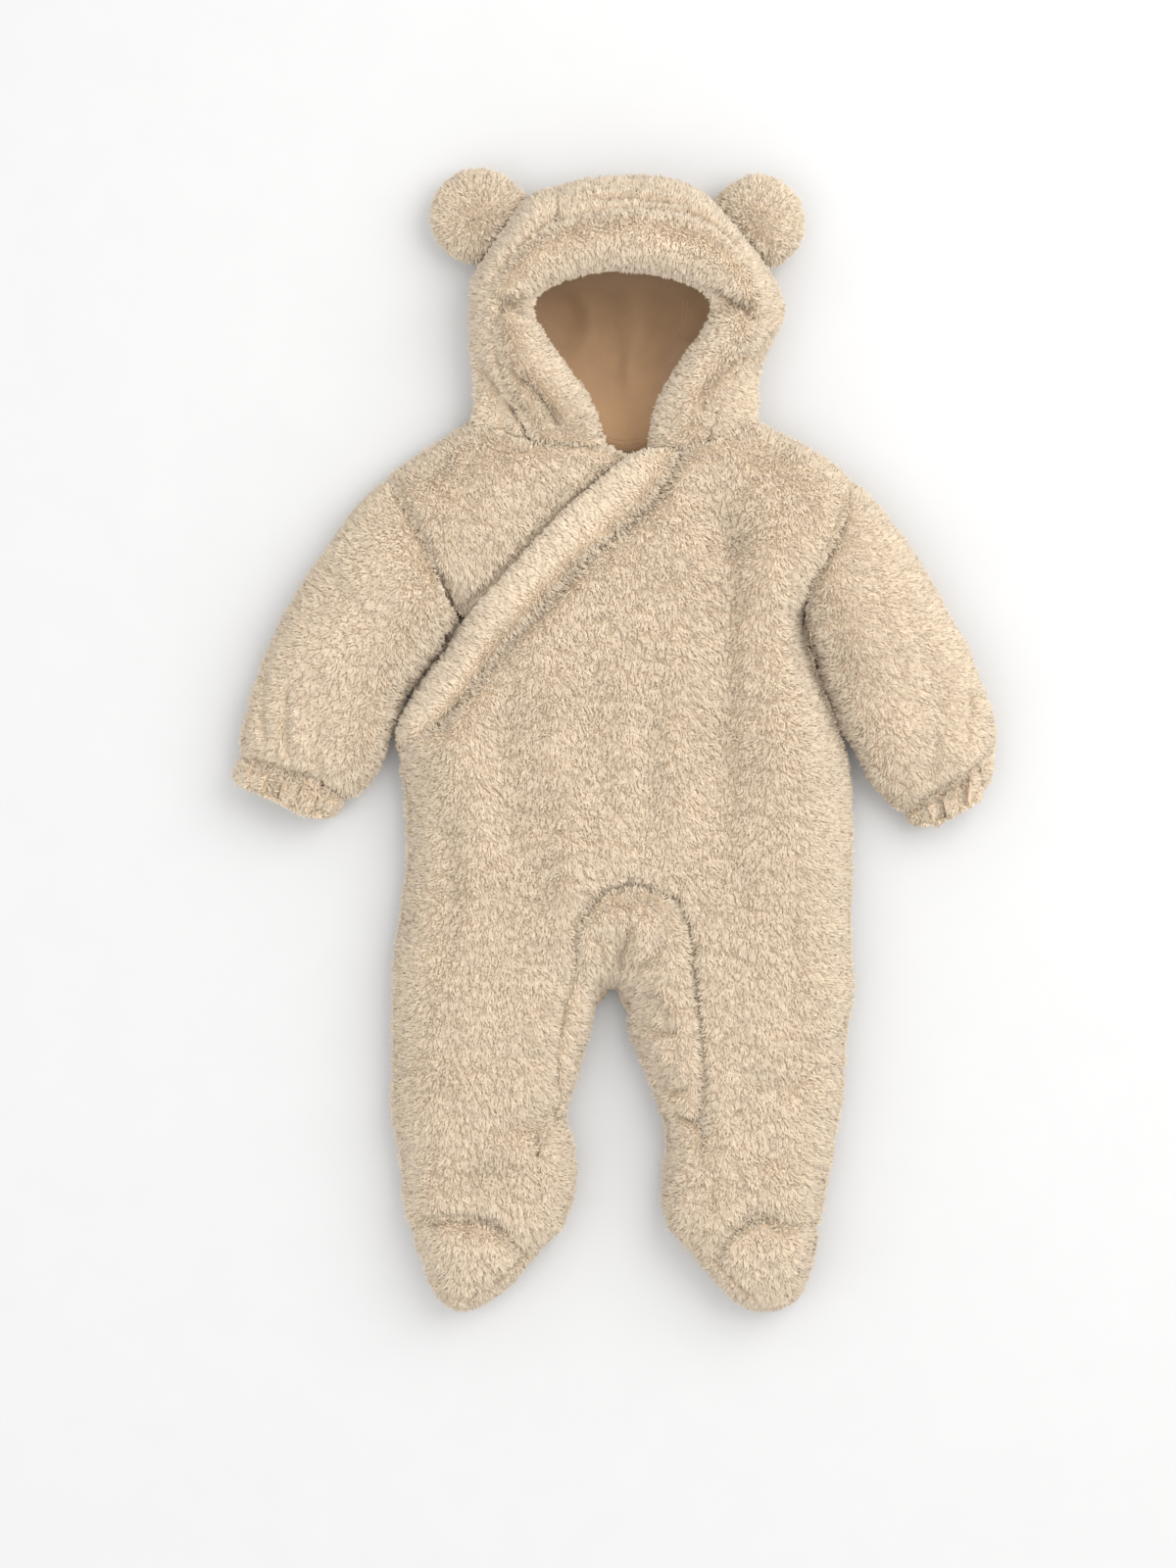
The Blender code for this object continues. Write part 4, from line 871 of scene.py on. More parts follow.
@dataclass
class Workshop:
    """What every piece is made with: the skins, the pile's tree, its lock and the finishes.

    The cloth is sunk by the pile's height, less where the suit rests. A face's tilt is the height of its
    normal, from -1 to 1: the pairs are the gain and the lift that turn it into a share.
    """

    outside: Outside
    tree: PileTree
    lock: bpy.types.Object
    fur: bpy.types.Material
    backing: bpy.types.Material
    jersey: bpy.types.Material
    thread: bpy.types.Material

    sink: float = 2.6
    rest_sink: float = 0.7
    wall: float = 1.1
    rest_cover: float = 0.1
    rest_height: float = 0.45
    hang: float = 0.5
    seam: float = 4.0
    parting: float = 0.1
    parting_most: float = 0.4
    patchiness: float = 0.12
    up_tilt: tuple[float, float] = (1.6, 0.6)
    flank_tilt: tuple[float, float] = (2.0, 1.5)
    crease_tilt: tuple[float, float] = (1.4, 0.0)
    patches: Swell = Swell(26.0, 0.5 / MM, 9)
    swell_size: float = 34.0
    swell_seed: int = 5

    def dress(self, cloth: Cloth) -> None:
        """Makes a fur piece: the backing cloth in place of its solid, and the pile on it.

        Args:
            cloth: the piece.
        """
        helper = self.outside.skin(cloth.node, cloth.levels, cloth.least, cloth.spread)
        self._settle(helper.data, cloth)
        piles = [self._grow(helper, cloth, region) for region in cloth.regions]
        shell = shell_of(helper, f"{cloth.node}_cloth", self.wall, self.backing)
        discard(helper)
        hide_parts(cloth.node)
        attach(shell, "root")
        cut = sum(p.area for p in shell.data.polygons) / 2 / MM**2
        LOG.info("%s: %d faces of cloth, %.0f square mm", cloth.node, len(shell.data.polygons), cut)

    def _settle(self, mesh: bpy.types.Mesh, cloth: Cloth) -> None:
        """Sinks the cloth by its pile's height, presses its creases and says how its pile grows.

        Args:
            mesh: the cloth's outer face.
            cloth: the piece.
        """
        points, normals = form_of(mesh)
        tilt = normals[:, 2]
        up = ramp(tilt, *self.up_tilt)
        sink = (self.rest_sink + (self.sink - self.rest_sink) * up) * MM
        sink = sink - Swell(self.swell_size, cloth.unevenness, self.swell_seed).at(points) * up
        parting = np.zeros(len(points))
        for crease in cloth.creases:
            pressed = crease.press(points[:, :2] / MM) * ramp(tilt, *self.crease_tilt)
            sink += pressed * MM
            parting += pressed * (crease.width < self.seam)
        settled = points - normals * sink[:, None]
        for nudge in cloth.nudges:
            settled[:, :2] += nudge.move(points[:, :2] / MM) * MM
        lay(mesh, settled, self.rest_sink)
        cover = np.clip(self.rest_cover + ramp(tilt, *self.flank_tilt), 0, 1)
        patch = np.clip(self.patches.at(points), -1, 1)
        height = (self.rest_height + (1 - self.rest_height) * up) * (1 + self.patchiness * patch)
        height *= 1 - np.clip(self.parting * parting, 0, self.parting_most)
        slope = normals * (1, 1, 0)
        upright = 1 - np.linalg.norm(slope, axis=1, keepdims=True)
        keep(mesh, "cover", "FLOAT", cover)
        keep(mesh, "height", "FLOAT", height)
        keep(mesh, "combed", "FLOAT_VECTOR", cloth.comb.at(points) * upright + slope * self.hang)

    def _grow(self, helper: bpy.types.Object, cloth: Cloth, region: Region) -> bpy.types.Object:
        """Grows the pile of one region as a piece of its own.

        Args:
            helper: the cloth's outer face.
            cloth: the piece.
            region: the part of it that the pile stands on.

        Returns:
            The pile.
        """
        mesh = helper.data.copy()
        bm = bmesh.new()
        bm.from_mesh(mesh)
        inside = region.holds(np.array([f.calc_center_median() for f in bm.faces]))
        others = [face for face, held in zip(bm.faces, inside) if not held]
        bmesh.ops.delete(bm, geom=others, context="FACES")
        bm.to_mesh(mesh)
        bm.free()
        ground = link("ground", mesh)
        grown = self.tree.grow(ground, cloth.pile, self.lock, self.fur)
        discard(ground)
        pile = link(f"{cloth.node}_{region.name}", grown)
        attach(pile, "root")
        LOG.info("%s: %d faces of pile", pile.name, len(grown.polygons))
        return pile


class Assembly:
    """A part of the suit that is sewn from pieces of faux fur."""

    def pieces(self) -> tuple[Cloth, ...]:
        """Its pieces, in the order that they are made."""
        raise NotImplementedError

    def build(self, shop: Workshop) -> None:
        """Dresses each piece.

        Args:
            shop: what they are made with.
        """
        for piece in self.pieces():
            shop.dress(piece)


# Seams that two or more pieces share, as places in the photograph.
ARMHOLE_LEFT = ((390, 480), (408, 505), (424, 534), (436, 560), (446, 588), (456, 612), (466, 638))
ARMHOLE_RIGHT = ((870, 482), (862, 510), (851, 542), (840, 572), (828, 602), (818, 632))
CUFF_LEFT = ((236, 764), (262, 778), (300, 791), (330, 803), (358, 826))
CUFF_RIGHT = ((1022, 766), (1000, 782), (965, 806), (922, 830))
TOE_LEFT = ((405, 1256), (430, 1244), (470, 1238), (502, 1244), (534, 1284))
TOE_RIGHT = ((732, 1266), (752, 1247), (778, 1237), (818, 1264))


@dataclass
class Body(Assembly):
    """The suit's front, back, wrap band and the gusset between the legs."""

    down: Comb = Comb(toward=(0.06, -0.4))
    along_band: Comb = Comb(toward=(-0.75, 0.45))
    regions: tuple[Region, ...] = (
        Region("pile_chest", low=100.0),
        Region("pile_belly", low=-30.0, high=100.0),
        Region("pile_lap", low=-118.0, high=-30.0),
        Region("pile_leg_left", high=-118.0, right=2.0),
        Region("pile_leg_right", high=-118.0, left=2.0),
    )
    folds: tuple[Crease, ...] = creases(
        10.0,
        (4.8, (735, 500), (742, 600), (738, 720), (732, 900)),
        (3.6, (700, 488), (722, 530), (758, 566)),
        (-3.2, (790, 560), (796, 700), (792, 840)),
        (4.8, (815, 610), (824, 660), (842, 710), (866, 770)),
        (-3.0, (842, 600), (856, 680), (868, 730)),
        (4.0, (520, 690), (512, 760), (528, 900)),
        (-3.2, (582, 850), (580, 925)),
        (-2.6, (560, 660), (572, 740), (570, 820)),
        (3.4, (655, 700), (660, 800), (650, 880)),
        (3.0, (455, 820), (462, 930), (450, 1010)),
        (-2.6, (690, 600), (694, 720), (690, 860)),
        (2.8, (800, 900), (806, 990), (796, 1080)),
    )
    knees: tuple[Crease, ...] = creases(
        4.0,
        (3.4, (505, 1150), (550, 1145), (572, 1133)),
        (1.4, (470, 1180), (500, 1192), (540, 1190)),
        (1.2, (770, 1175), (800, 1182), (830, 1172)),
        (1.5, (830, 745), (840, 790)),
        (2.0, (600, 1060), (560, 1080), (520, 1074)),
        (1.6, (740, 1090), (790, 1102), (850, 1090)),
    )
    leg_seams: tuple[Crease, ...] = creases(
        2.6,
        (3.6, (548, 1140), (556, 1200), (562, 1246)),
        (2.6, (682, 1141), (708, 1146)),
        (3.0, (727, 1190), (725, 1245)),
        (
            2.6,
            *((597, 1005), (589, 966), (589, 940), (602, 916)),
            *((645, 902), (688, 918), (702, 960), (706, 1000)),
        ),
        (3.4, (584, 1000), (577, 1060), (574, 1126)),
        (1.8, (702, 960), (706, 1000), (715, 1080), (715, 1145), (710, 1245)),
        (2.4, *TOE_LEFT),
        (2.6, *TOE_RIGHT),
    )
    band_seam: tuple[Crease, ...] = creases(
        4.0,
        (2.2, (697, 462), (682, 488), (665, 512), (625, 542)),
        (1.6, (600, 570), (555, 622), (497, 682), (447, 742), (425, 757)),
    )
    armhole: tuple[Crease, ...] = creases(3.4, (3.0, *ARMHOLE_RIGHT))
    under_wrap: tuple[Crease, ...] = creases(
        3.4,
        (3.4, (648, 462), (575, 518), (503, 596), (452, 642)),
        (2.6, *ARMHOLE_LEFT),
    )
    band: tuple[Crease, ...] = creases(
        14.0, (1.6, (700, 440), (640, 500), (560, 580), (480, 670), (410, 745))
    )
    pinches: tuple[Crease, ...] = creases(
        2.8,
        (5.0, (650, 934), (638, 958), (632, 980), (634, 1000)),
        (4.0, (640, 994), (660, 980), (682, 960)),
        (2.6, (606, 946), (612, 968), (618, 992)),
        (-2.0, (602, 930), (622, 914), (646, 908), (670, 914), (690, 936)),
        (4.4, (644, 1030), (662, 1054), (694, 1050)),
        (4.4, (664, 1096), (682, 1116), (706, 1108)),
        (-2.6, (668, 1004), (684, 1026), (690, 1040)),
        (-2.4, (672, 1070), (686, 1086), (700, 1090)),
        (2.4, (612, 1030), (610, 1075)),
        (4.0, (684, 1136), (700, 1143), (716, 1146)),
    )

    def pieces(self) -> tuple[Cloth, ...]:
        """The two fronts, the band, the back and the gusset.

        Returns:
            The cloths, the front first.
        """
        return (
            Cloth(
                "front_over_wrap",
                (300.0, 500.0),
                104000.0,
                self.folds + self.leg_seams + self.knees + self.band_seam + self.armhole,
                (Nudge((414, 760), (-3.5, 3.0), 10.0),),
                self.down,
                Pile(seed=11),
                self.regions,
            ),
            Cloth(
                "front_under_wrap",
                (110.0, 190.0),
                9800.0,
                self.under_wrap,
                (Nudge((464, 628), (-2.0, -3.5), 9.0),),
                self.down,
                Pile(seed=12),
            ),
            Cloth(
                "wrap_band",
                (24.0, 400.0),
                8600.0,
                self.band,
                (Nudge((416, 750), (0.0, -6.0), 9.0),),
                self.along_band,
                Pile(seed=13),
            ),
            Cloth(
                "back_panel",
                (310.0, 560.0),
                128000.0,
                (),
                (Nudge((440, 680), (-11.0, -3.0), 16.0), Nudge((412, 735), (-3.0, 0.0), 12.0)),
                self.down,
                Pile(seed=14),
                spread=0.0,
                unevenness=0.2,
            ),
            Cloth(
                "leg_gusset",
                (60.0, 480.0),
                10800.0,
                self.pinches,
                (Nudge((576, 1134), (0.0, -3.0), 7.0),),
                self.down,
                Pile(seed=15),
            ),
        )


@dataclass
class Arm(Assembly):
    """A sleeve and its gathered cuff."""

    side: str
    outward: Place
    folds: tuple[Crease, ...]
    gathers: tuple[Crease, ...]
    seed: int
    nudges: tuple[Nudge, ...]
    cuff_pile: float = 3.8
    cuff_least: float = 0.5

    def pieces(self) -> tuple[Cloth, ...]:
        """The sleeve and the cuff.

        Returns:
            The cloths, the sleeve first.
        """
        along = Comb(toward=self.outward)
        sleeve = Pile(seed=self.seed)
        cuff = Pile(seed=self.seed + 1, length=self.cuff_pile)
        return (
            Cloth(f"sleeve_{self.side}", (220.0, 190.0), 33000.0, self.folds, self.nudges, along, sleeve),
            Cloth(
                f"cuff_{self.side}",
                (150.0, 36.0),
                5200.0,
                self.gathers,
                comb=along,
                pile=cuff,
                least=self.cuff_least,
            ),
        )


@dataclass
class Foot(Assembly):
    """A toe cap, the heel piece behind it and the sole, each with the size and area of its cut."""

    side: str
    folds: tuple[Crease, ...]
    seed: int
    down: Comb = Comb(toward=(0.0, -0.5))
    cuts: tuple[tuple[str, float, float, float], ...] = (
        ("toe_cap", 75.0, 55.0, 3000.0),
        ("heel", 40.0, 60.0, 2000.0),
        ("sole", 55.0, 110.0, 5200.0),
    )

    def pieces(self) -> tuple[Cloth, ...]:
        """The toe cap, the heel piece and the sole.

        Returns:
            The cloths, in the order of the cuts.
        """
        return tuple(
            Cloth(
                f"{name}_{self.side}",
                (width, length),
                area,
                self.folds,
                comb=self.down,
                pile=Pile(seed=self.seed + i),
            )
            for i, (name, width, length, area) in enumerate(self.cuts)
        )


@dataclass
class Hood(Assembly):
    """The hood's rim, centre and side panels. The rim's fur hangs over the mouth."""

    mouth: Place = (628.0, 360.0)
    outward: float = 0.5
    inward: float = -0.45
    wrinkles: tuple[Crease, ...] = creases(
        2.8,
        (3.6, (561, 178), (563, 200), (567, 232)),
        (-2.0, (570, 186), (640, 181), (700, 190)),
        (2.4, (575, 197), (635, 192), (705, 203)),
        (-1.4, (574, 203), (640, 199), (712, 209)),
        (2.4, (570, 210), (640, 207), (718, 217)),
        (2.6, (704, 188), (714, 200), (722, 218)),
    )
    side_folds: tuple[Crease, ...] = creases(
        3.6,
        (6.0, (512, 372), (522, 385), (543, 401), (563, 426), (576, 444)),
        (5.0, (482, 362), (489, 380), (508, 404), (536, 430)),
        (3.4, (498, 404), (511, 424), (522, 438)),
        (5.0, (768, 360), (755, 373), (730, 396), (712, 410)),
        (1.8, (726, 404), (724, 424)),
    )
    rolls: tuple[Crease, ...] = creases(
        9.0,
        (-2.6, (520, 345), (545, 375), (580, 410), (606, 440)),
        (-2.4, (770, 345), (745, 362), (715, 385), (690, 420)),
        (-0.8, (505, 296), (560, 272), (640, 262), (720, 272), (792, 300)),
        (1.8, (452, 330), (470, 370), (476, 410)),
        (2.4, (800, 340), (792, 370), (776, 400)),
    )
    pockets: tuple[Crease, ...] = creases(
        4.6,
        (9.0, (560, 322), (534, 316), (512, 316), (494, 322)),
        (10.0, (716, 308), (745, 315), (772, 322), (796, 330)),
    )
    seats: tuple[Nudge, ...] = (
        Nudge((488, 432), (-1.0, -3.4), 10.0),
        Nudge((512, 441), (0.0, -2.4), 9.0),
        Nudge((537, 446), (1.2, -3.0), 10.0),
        Nudge((565, 452), (0.0, -2.4), 14.0),
        Nudge((606, 452), (0.0, -3.0), 12.0),
        Nudge((726, 444), (0.0, -3.4), 11.0),
        Nudge((690, 452), (0.0, -3.0), 14.0),
    )
    crown: Nudge = Nudge((640, 226), (0.0, 2.0), 34.0)
    centre_corner: Nudge = Nudge((568, 224), (0.0, -2.5), 8.0)

    def pieces(self) -> tuple[Cloth, ...]:
        """The rim, the centre and the two sides.

        Returns:
            The cloths, the rim first.
        """
        inward = Comb(Nap.AWAY, self.mouth, self.inward)
        outward = Comb(Nap.AWAY, self.mouth, self.outward)
        folds = self.side_folds + self.rolls
        rim_nudges = (*self.seats, self.crown)
        return (
            Cloth(
                "hood_rim", (36.0, 480.0), 14500.0, folds + self.pockets, rim_nudges, inward, Pile(seed=41)
            ),
            Cloth(
                "hood_centre",
                (80.0, 230.0),
                15000.0,
                self.wrinkles,
                (self.centre_corner,),
                outward,
                Pile(seed=42),
            ),
            Cloth("hood_side_left", (110.0, 150.0), 11500.0, folds, self.seats, outward, Pile(seed=43)),
            Cloth("hood_side_right", (110.0, 150.0), 11500.0, folds, self.seats, outward, Pile(seed=44)),
        )


@dataclass
class Ear(Assembly):
    """A stuffed round ear: its fur lies a little away from its middle, and its seat meets the hood."""

    side: str
    middle: Place
    seat: Nudge
    seed: int
    fill: float = 0.8
    lean: float = 0.12

    def pieces(self) -> tuple[Cloth, ...]:
        """The ear, as its only piece.

        Returns:
            One cloth.
        """
        comb = Comb(Nap.AWAY, self.middle, self.lean)
        pile = Pile(seed=self.seed)
        node = f"ear_{self.side}"
        return (Cloth(node, (65.0, 110.0), 5200.0, (), (self.seat,), comb, pile, levels=1, fill=self.fill),)


@dataclass
class Lining:
    """The hood's smooth jersey lining, with soft folds and topstitched seams.

    Its colour is painted darker at the top of the mouth, as painted shade under the rim, and lighter toward
    the neck, and it reaches down under the fronts there.
    """

    folds: tuple[Crease, ...] = creases(
        6.0,
        (3.4, (572, 296), (584, 322), (578, 345), (566, 360)),
        (-2.4, (600, 300), (606, 330), (596, 366), (608, 400)),
        (2.6, (628, 292), (622, 325), (632, 360), (628, 400)),
        (-2.0, (648, 296), (652, 330), (642, 372), (640, 420)),
        (3.0, (668, 292), (676, 322), (668, 352), (652, 380)),
        (2.4, (688, 300), (686, 340), (672, 376), (656, 410)),
        (4.0, (713, 300), (710, 325), (702, 352)),
    )
    hollow: tuple[Crease, ...] = creases(
        14.0, (6.0, (530, 300), (580, 288), (640, 282), (700, 290), (735, 304))
    )
    seams: tuple[tuple[Place, ...], ...] = (
        ((547, 303), (553, 328), (560, 352), (585, 392), (604, 420)),
        ((700, 302), (698, 325), (694, 350), (678, 388), (662, 420)),
        ((618, 448), (636, 451), (656, 448)),
    )
    neck: Nudge = Nudge((645, 452), (2.0, -11.0), 17.0)
    flat: tuple[float, float] = (140.0, 110.0)
    area: float = 11200.0
    seam_depth: float = 0.7
    seam_width: float = 1.1
    sink: float = 0.3
    rest: float = 1.5
    wall: float = 0.9
    crease_tilt: float = 1.5
    slack: Swell = Swell(30.0, 0.5, 3)
    # Rows, in pixels, where the painted shade on the lining is deepest and where it has faded out.
    shady_from: float = 285.0
    pale_from: float = 440.0
    stitch: float = 2.6
    stitch_share: float = 0.7
    stitch_start: float = 0.15
    stitch_aside: float = 1.4
    stitch_width: float = 0.4
    stitch_sides: int = 6
    stitch_drop: float = 2.0
    stitch_above: float = 200.0

    def build(self, shop: Workshop) -> None:
        """Dresses the lining.

        Args:
            shop: what it is made with.
        """
        helper = shop.outside.skin("hood_lining", 2, 0.2)
        self._settle(helper.data)
        face = BVHTree.FromPolygons(
            [v.co for v in helper.data.vertices], [p.vertices for p in helper.data.polygons]
        )
        shell = shell_of(helper, "hood_lining_cloth", self.wall, shop.jersey)
        discard(helper)
        stitches = self._stitches(face, shop.thread)
        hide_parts("hood_lining")
        for piece in (shell, stitches):
            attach(piece, "root")
        LOG.info("hood_lining: %d faces of cloth", len(shell.data.polygons))

    def _settle(self, mesh: bpy.types.Mesh) -> None:
        """Presses the folds and the seams, and paints shade on the lining: darker at the top under the rim,
        lighter toward the neck.

        Args:
            mesh: the lining's outer face.
        """
        points, normals = form_of(mesh)
        sink = self.sink * MM - self.slack.at(points)
        seams = creases(self.seam_width, *((self.seam_depth, *seam) for seam in self.seams))
        for crease in self.folds + self.hollow + seams:
            sink += crease.press(points[:, :2] / MM) * MM * ramp(normals[:, 2], self.crease_tilt)
        settled = points - normals * sink[:, None]
        settled[:, :2] += self.neck.move(points[:, :2] / MM) * MM
        lay(mesh, settled, self.rest)
        # This attribute paints shade under the rim: 0 at the top of the mouth, rising to 1 toward the neck,
        # where the lining is painted lighter.
        top, low = plan(0, self.shady_from)[1], plan(0, self.pale_from)[1]
        keep(mesh, "painted_light", "FLOAT", np.clip((points[:, 1] / MM - top) / (low - top), 0, 1))

    def _stitches(self, face: BVHTree, thread: bpy.types.Material) -> bpy.types.Object:
        """Lays a stitch every few millimetres along both sides of each seam.

        Args:
            face: the lining's face.
            thread: the stitches' material.

        Returns:
            All the stitches as one piece.
        """
        bm = bmesh.new()
        for seam in self.seams:
            knots = [Vector((*plan(*place), 0)) * MM for place in seam]
            for side in (-self.stitch_aside, self.stitch_aside):
                for a, b in zip(knots, knots[1:]):
                    along = (b - a).normalized()
                    aside = Vector((-along.y, along.x, 0)) * side * MM
                    for i in range(int((b - a).length / (self.stitch * MM))):
                        start = a + along * self.stitch * MM * (i + self.stitch_start) + aside
                        end = start + along * self.stitch * MM * self.stitch_share
                        self._stitch(bm, face, start, end)
        mesh = bpy.data.meshes.new("stitches")
        bm.to_mesh(mesh)
        bm.free()
        mesh.materials.append(thread)
        mesh.shade_smooth()
        return link("hood_lining_stitches", mesh)

    def _stitch(self, bm: bmesh.types.BMesh, face: BVHTree, start: Vector, end: Vector) -> None:
        """Lays one stitch, a low bar on the lining, unless the lining drops away there.

        Args:
            bm: the stitches so far.
            face: the lining's face.
            start: the plan position of one end, in metres.
            end: that of the other.
        """
        above, down = Vector((0, 0, self.stitch_above * MM)), Vector((0, 0, -1))
        tops = [face.ray_cast(place + above, down)[0] for place in (start, end)]
        if None in tops or abs(tops[0].z - tops[1].z) > self.stitch_drop * MM:
            return
        axis = tops[1] - tops[0]
        radius = self.stitch_width / 2 * MM
        made = bmesh.ops.create_cone(
            bm,
            cap_ends=True,
            segments=self.stitch_sides,
            radius1=radius,
            radius2=radius,
            depth=axis.length,
        )
        turn = axis.to_track_quat("Z", "Y").to_matrix().to_4x4()
        turn.translation = (tops[0] + tops[1]) / 2
        bmesh.ops.transform(bm, matrix=turn, verts=made["verts"])


@dataclass(frozen=True)
class Mottle:
    """The slow colour change of a dyed cloth, as a shader group whose factor lies around 1."""

    size: float = 0.03
    amount: float = 0.08

    def build(self) -> bpy.types.NodeTree:
        """Makes the group, with these values as its defaults.

        Returns:
            The group's tree.
        """
        inputs = {"Size": ("Float", self.size), "Amount": ("Float", self.amount)}
        w = new_group("Soft mottling", "ShaderNodeTree", inputs, {"Factor": "Float"})
        given = w.given()
        centred = w.math("SUBTRACT", w.noise(w.math("DIVIDE", 1.0, given["Size"])), 0.5)
        spread = w.math("MULTIPLY", centred, w.math("MULTIPLY", given["Amount"], 2.0))
        w.node("NodeGroupOutput", {0: w.math("ADD", spread, 1.0)})
        return w.tree


@dataclass(frozen=True)
class Finish:
    """A material: its light and dark colours, how it scatters light and how it is mottled."""

    name: str
    light: Colour
    dark: Colour
    roughness: float = 0.9
    sheen: float = 0.0
    sheen_roughness: float = 0.5
    specular: float = 0.25
    ior: float = 1.45
    mottle_size: float = 0.02
    mottle_amount: float = 0.12

    def begin(self) -> tuple[Wiring, bpy.types.Node, bpy.types.Material]:
        """Starts the material.

        Returns:
            Its wiring, its Principled BSDF with the constants set, and the material.
        """
        made = bpy.data.materials.new(self.name)
        made.use_nodes = True
        made.node_tree.nodes.clear()
        wiring = Wiring(made.node_tree)
        shader = wiring.node(
            "ShaderNodeBsdfPrincipled",
            {
                "Roughness": self.roughness,
                "IOR": self.ior,
                "Sheen Weight": self.sheen,
                "Sheen Roughness": self.sheen_roughness,
                "Specular IOR Level": self.specular,
            },
        )
        wiring.node("ShaderNodeOutputMaterial", {0: shader.outputs[0]})
        return wiring, shader, made

    def mottled(self, w: Wiring, mottle: bpy.types.NodeTree) -> bpy.types.NodeSocket:
        """The factor of slow colour change.

        Args:
            w: the material's wiring.
            mottle: the group that makes it.

        Returns:
            The factor, around 1.
        """
        group = w.node("ShaderNodeGroup", node_tree=mottle)
        group.inputs["Size"].default_value = self.mottle_size
        group.inputs["Amount"].default_value = self.mottle_amount
        return group.outputs[0]

    @staticmethod
    def paint(
        w: Wiring, shader: bpy.types.Node, colour: bpy.types.NodeSocket, level: bpy.types.NodeSocket
    ) -> None:
        """Gives the shader the colour times a level."""
        lit = w.vector("MULTIPLY", colour, w.joined(level, level, level))
        w.tree.links.new(lit, shader.inputs["Base Color"])


@dataclass(frozen=True)
class FurFinish(Finish):
    """Sherpa fur: dark at the root, as painted shade deep in the pile, and light at the tip, with a shade of
    its own for each lock.

    Light scatters through fine hair, so the outer side of each lock is lit partly as the cloth below it
    faces.
    """

    softness: float = 0.74
    shades: tuple[float, float] = (0.2, 0.9)
    crevice_shade: tuple[float, float] = (-0.08, 1.0)

    def build(self, mottle: bpy.types.NodeTree) -> bpy.types.Material:
        """Makes the material.

        Args:
            mottle: the group for slow colour change.

        Returns:
            The material.
        """
        w, shader, made = self.begin()
        # Dark roots to light tips along each lock: the dark root is painted shade deep in the pile.
        colour = w.mix(w.attribute("tip"), self.dark, self.light)
        shade = w.math("MULTIPLY_ADD", w.attribute("shade"), *self.shades)
        level = w.math("MULTIPLY", shade, self.mottled(w, mottle))
        # Locks at the clumps' borders are painted darker, as painted shade in the crevices.
        crevice = w.math("MULTIPLY_ADD", w.attribute("crevice"), *self.crevice_shade)
        self.paint(w, shader, colour, w.math("MULTIPLY", level, crevice))
        turned = w.node(
            "ShaderNodeVectorTransform",
            {0: w.attribute("facing", "Vector")},
            vector_type="NORMAL",
            convert_from="OBJECT",
            convert_to="WORLD",
        ).outputs[0]
        side = w.node("ShaderNodeNewGeometry").outputs
        share = w.math("MULTIPLY_ADD", side["Backfacing"], -self.softness, self.softness)
        own = w.scaled(side["Normal"], w.math("SUBTRACT", 1.0, share))
        soft = w.vector("NORMALIZE", w.vector("ADD", w.scaled(turned, share), own))
        w.tree.links.new(soft, shader.inputs["Normal"])
        return made


@dataclass(frozen=True)
class ClothFinish(Finish):
    """A plain or brushed cloth: a fine grain in colour and bump, and painted light that brightens it where
    its attribute says so, leaving painted shade where it is low.
    """

    grain: float = 4000.0
    bump: float = 0.05
    painted_light: float = 0.0

    def build(self, mottle: bpy.types.NodeTree) -> bpy.types.Material:
        """Makes the material.

        Args:
            mottle: the group for slow colour change.

        Returns:
            The material.
        """
        w, shader, made = self.begin()
        grain = w.noise(self.grain, 3.0)
        # Painted light: the cloth is brightened where its attribute is high, and left darker as painted shade
        # where it is low.
        painted_light = w.math("MULTIPLY_ADD", w.attribute("painted_light"), self.painted_light, 1.0)
        level = w.math("MULTIPLY", self.mottled(w, mottle), painted_light)
        self.paint(w, shader, w.mix(grain, self.dark, self.light), level)
        bump = w.node("ShaderNodeBump", {"Height": grain, "Distance": self.bump * MM, "Strength": 1.0})
        w.tree.links.new(bump.outputs[0], shader.inputs["Normal"])
        return made


@dataclass(frozen=True)
class TableFinish(Finish):
    """A pale table with soft clouds of tone."""

    clouds: float = 30.0

    def build(self) -> bpy.types.Material:
        """Makes the material.

        Returns:
            The material.
        """
        w, shader, made = self.begin()
        tone = w.mix(w.noise(self.clouds), self.dark, self.light)
        w.tree.links.new(tone, shader.inputs["Base Color"])
        return made


@dataclass(frozen=True)
class Lamp:
    """A round area lamp that faces the suit's middle. Its place and size are metres, its power watts."""

    name: str
    place: tuple[float, float, float]
    size: float
    power: float
    colour: Colour

    def build(self) -> None:
        """Adds the lamp to the scene."""
        data = bpy.data.lights.new(self.name, "AREA")
        data.shape = "DISK"
        data.size = self.size
        data.energy = self.power
        data.color = self.colour
        lamp = bpy.data.objects.new(self.name, data)
        lamp.location = self.place
        lamp.rotation_euler = (-Vector(self.place)).to_track_quat("-Z", "Y").to_euler()
        bpy.context.scene.collection.objects.link(lamp)


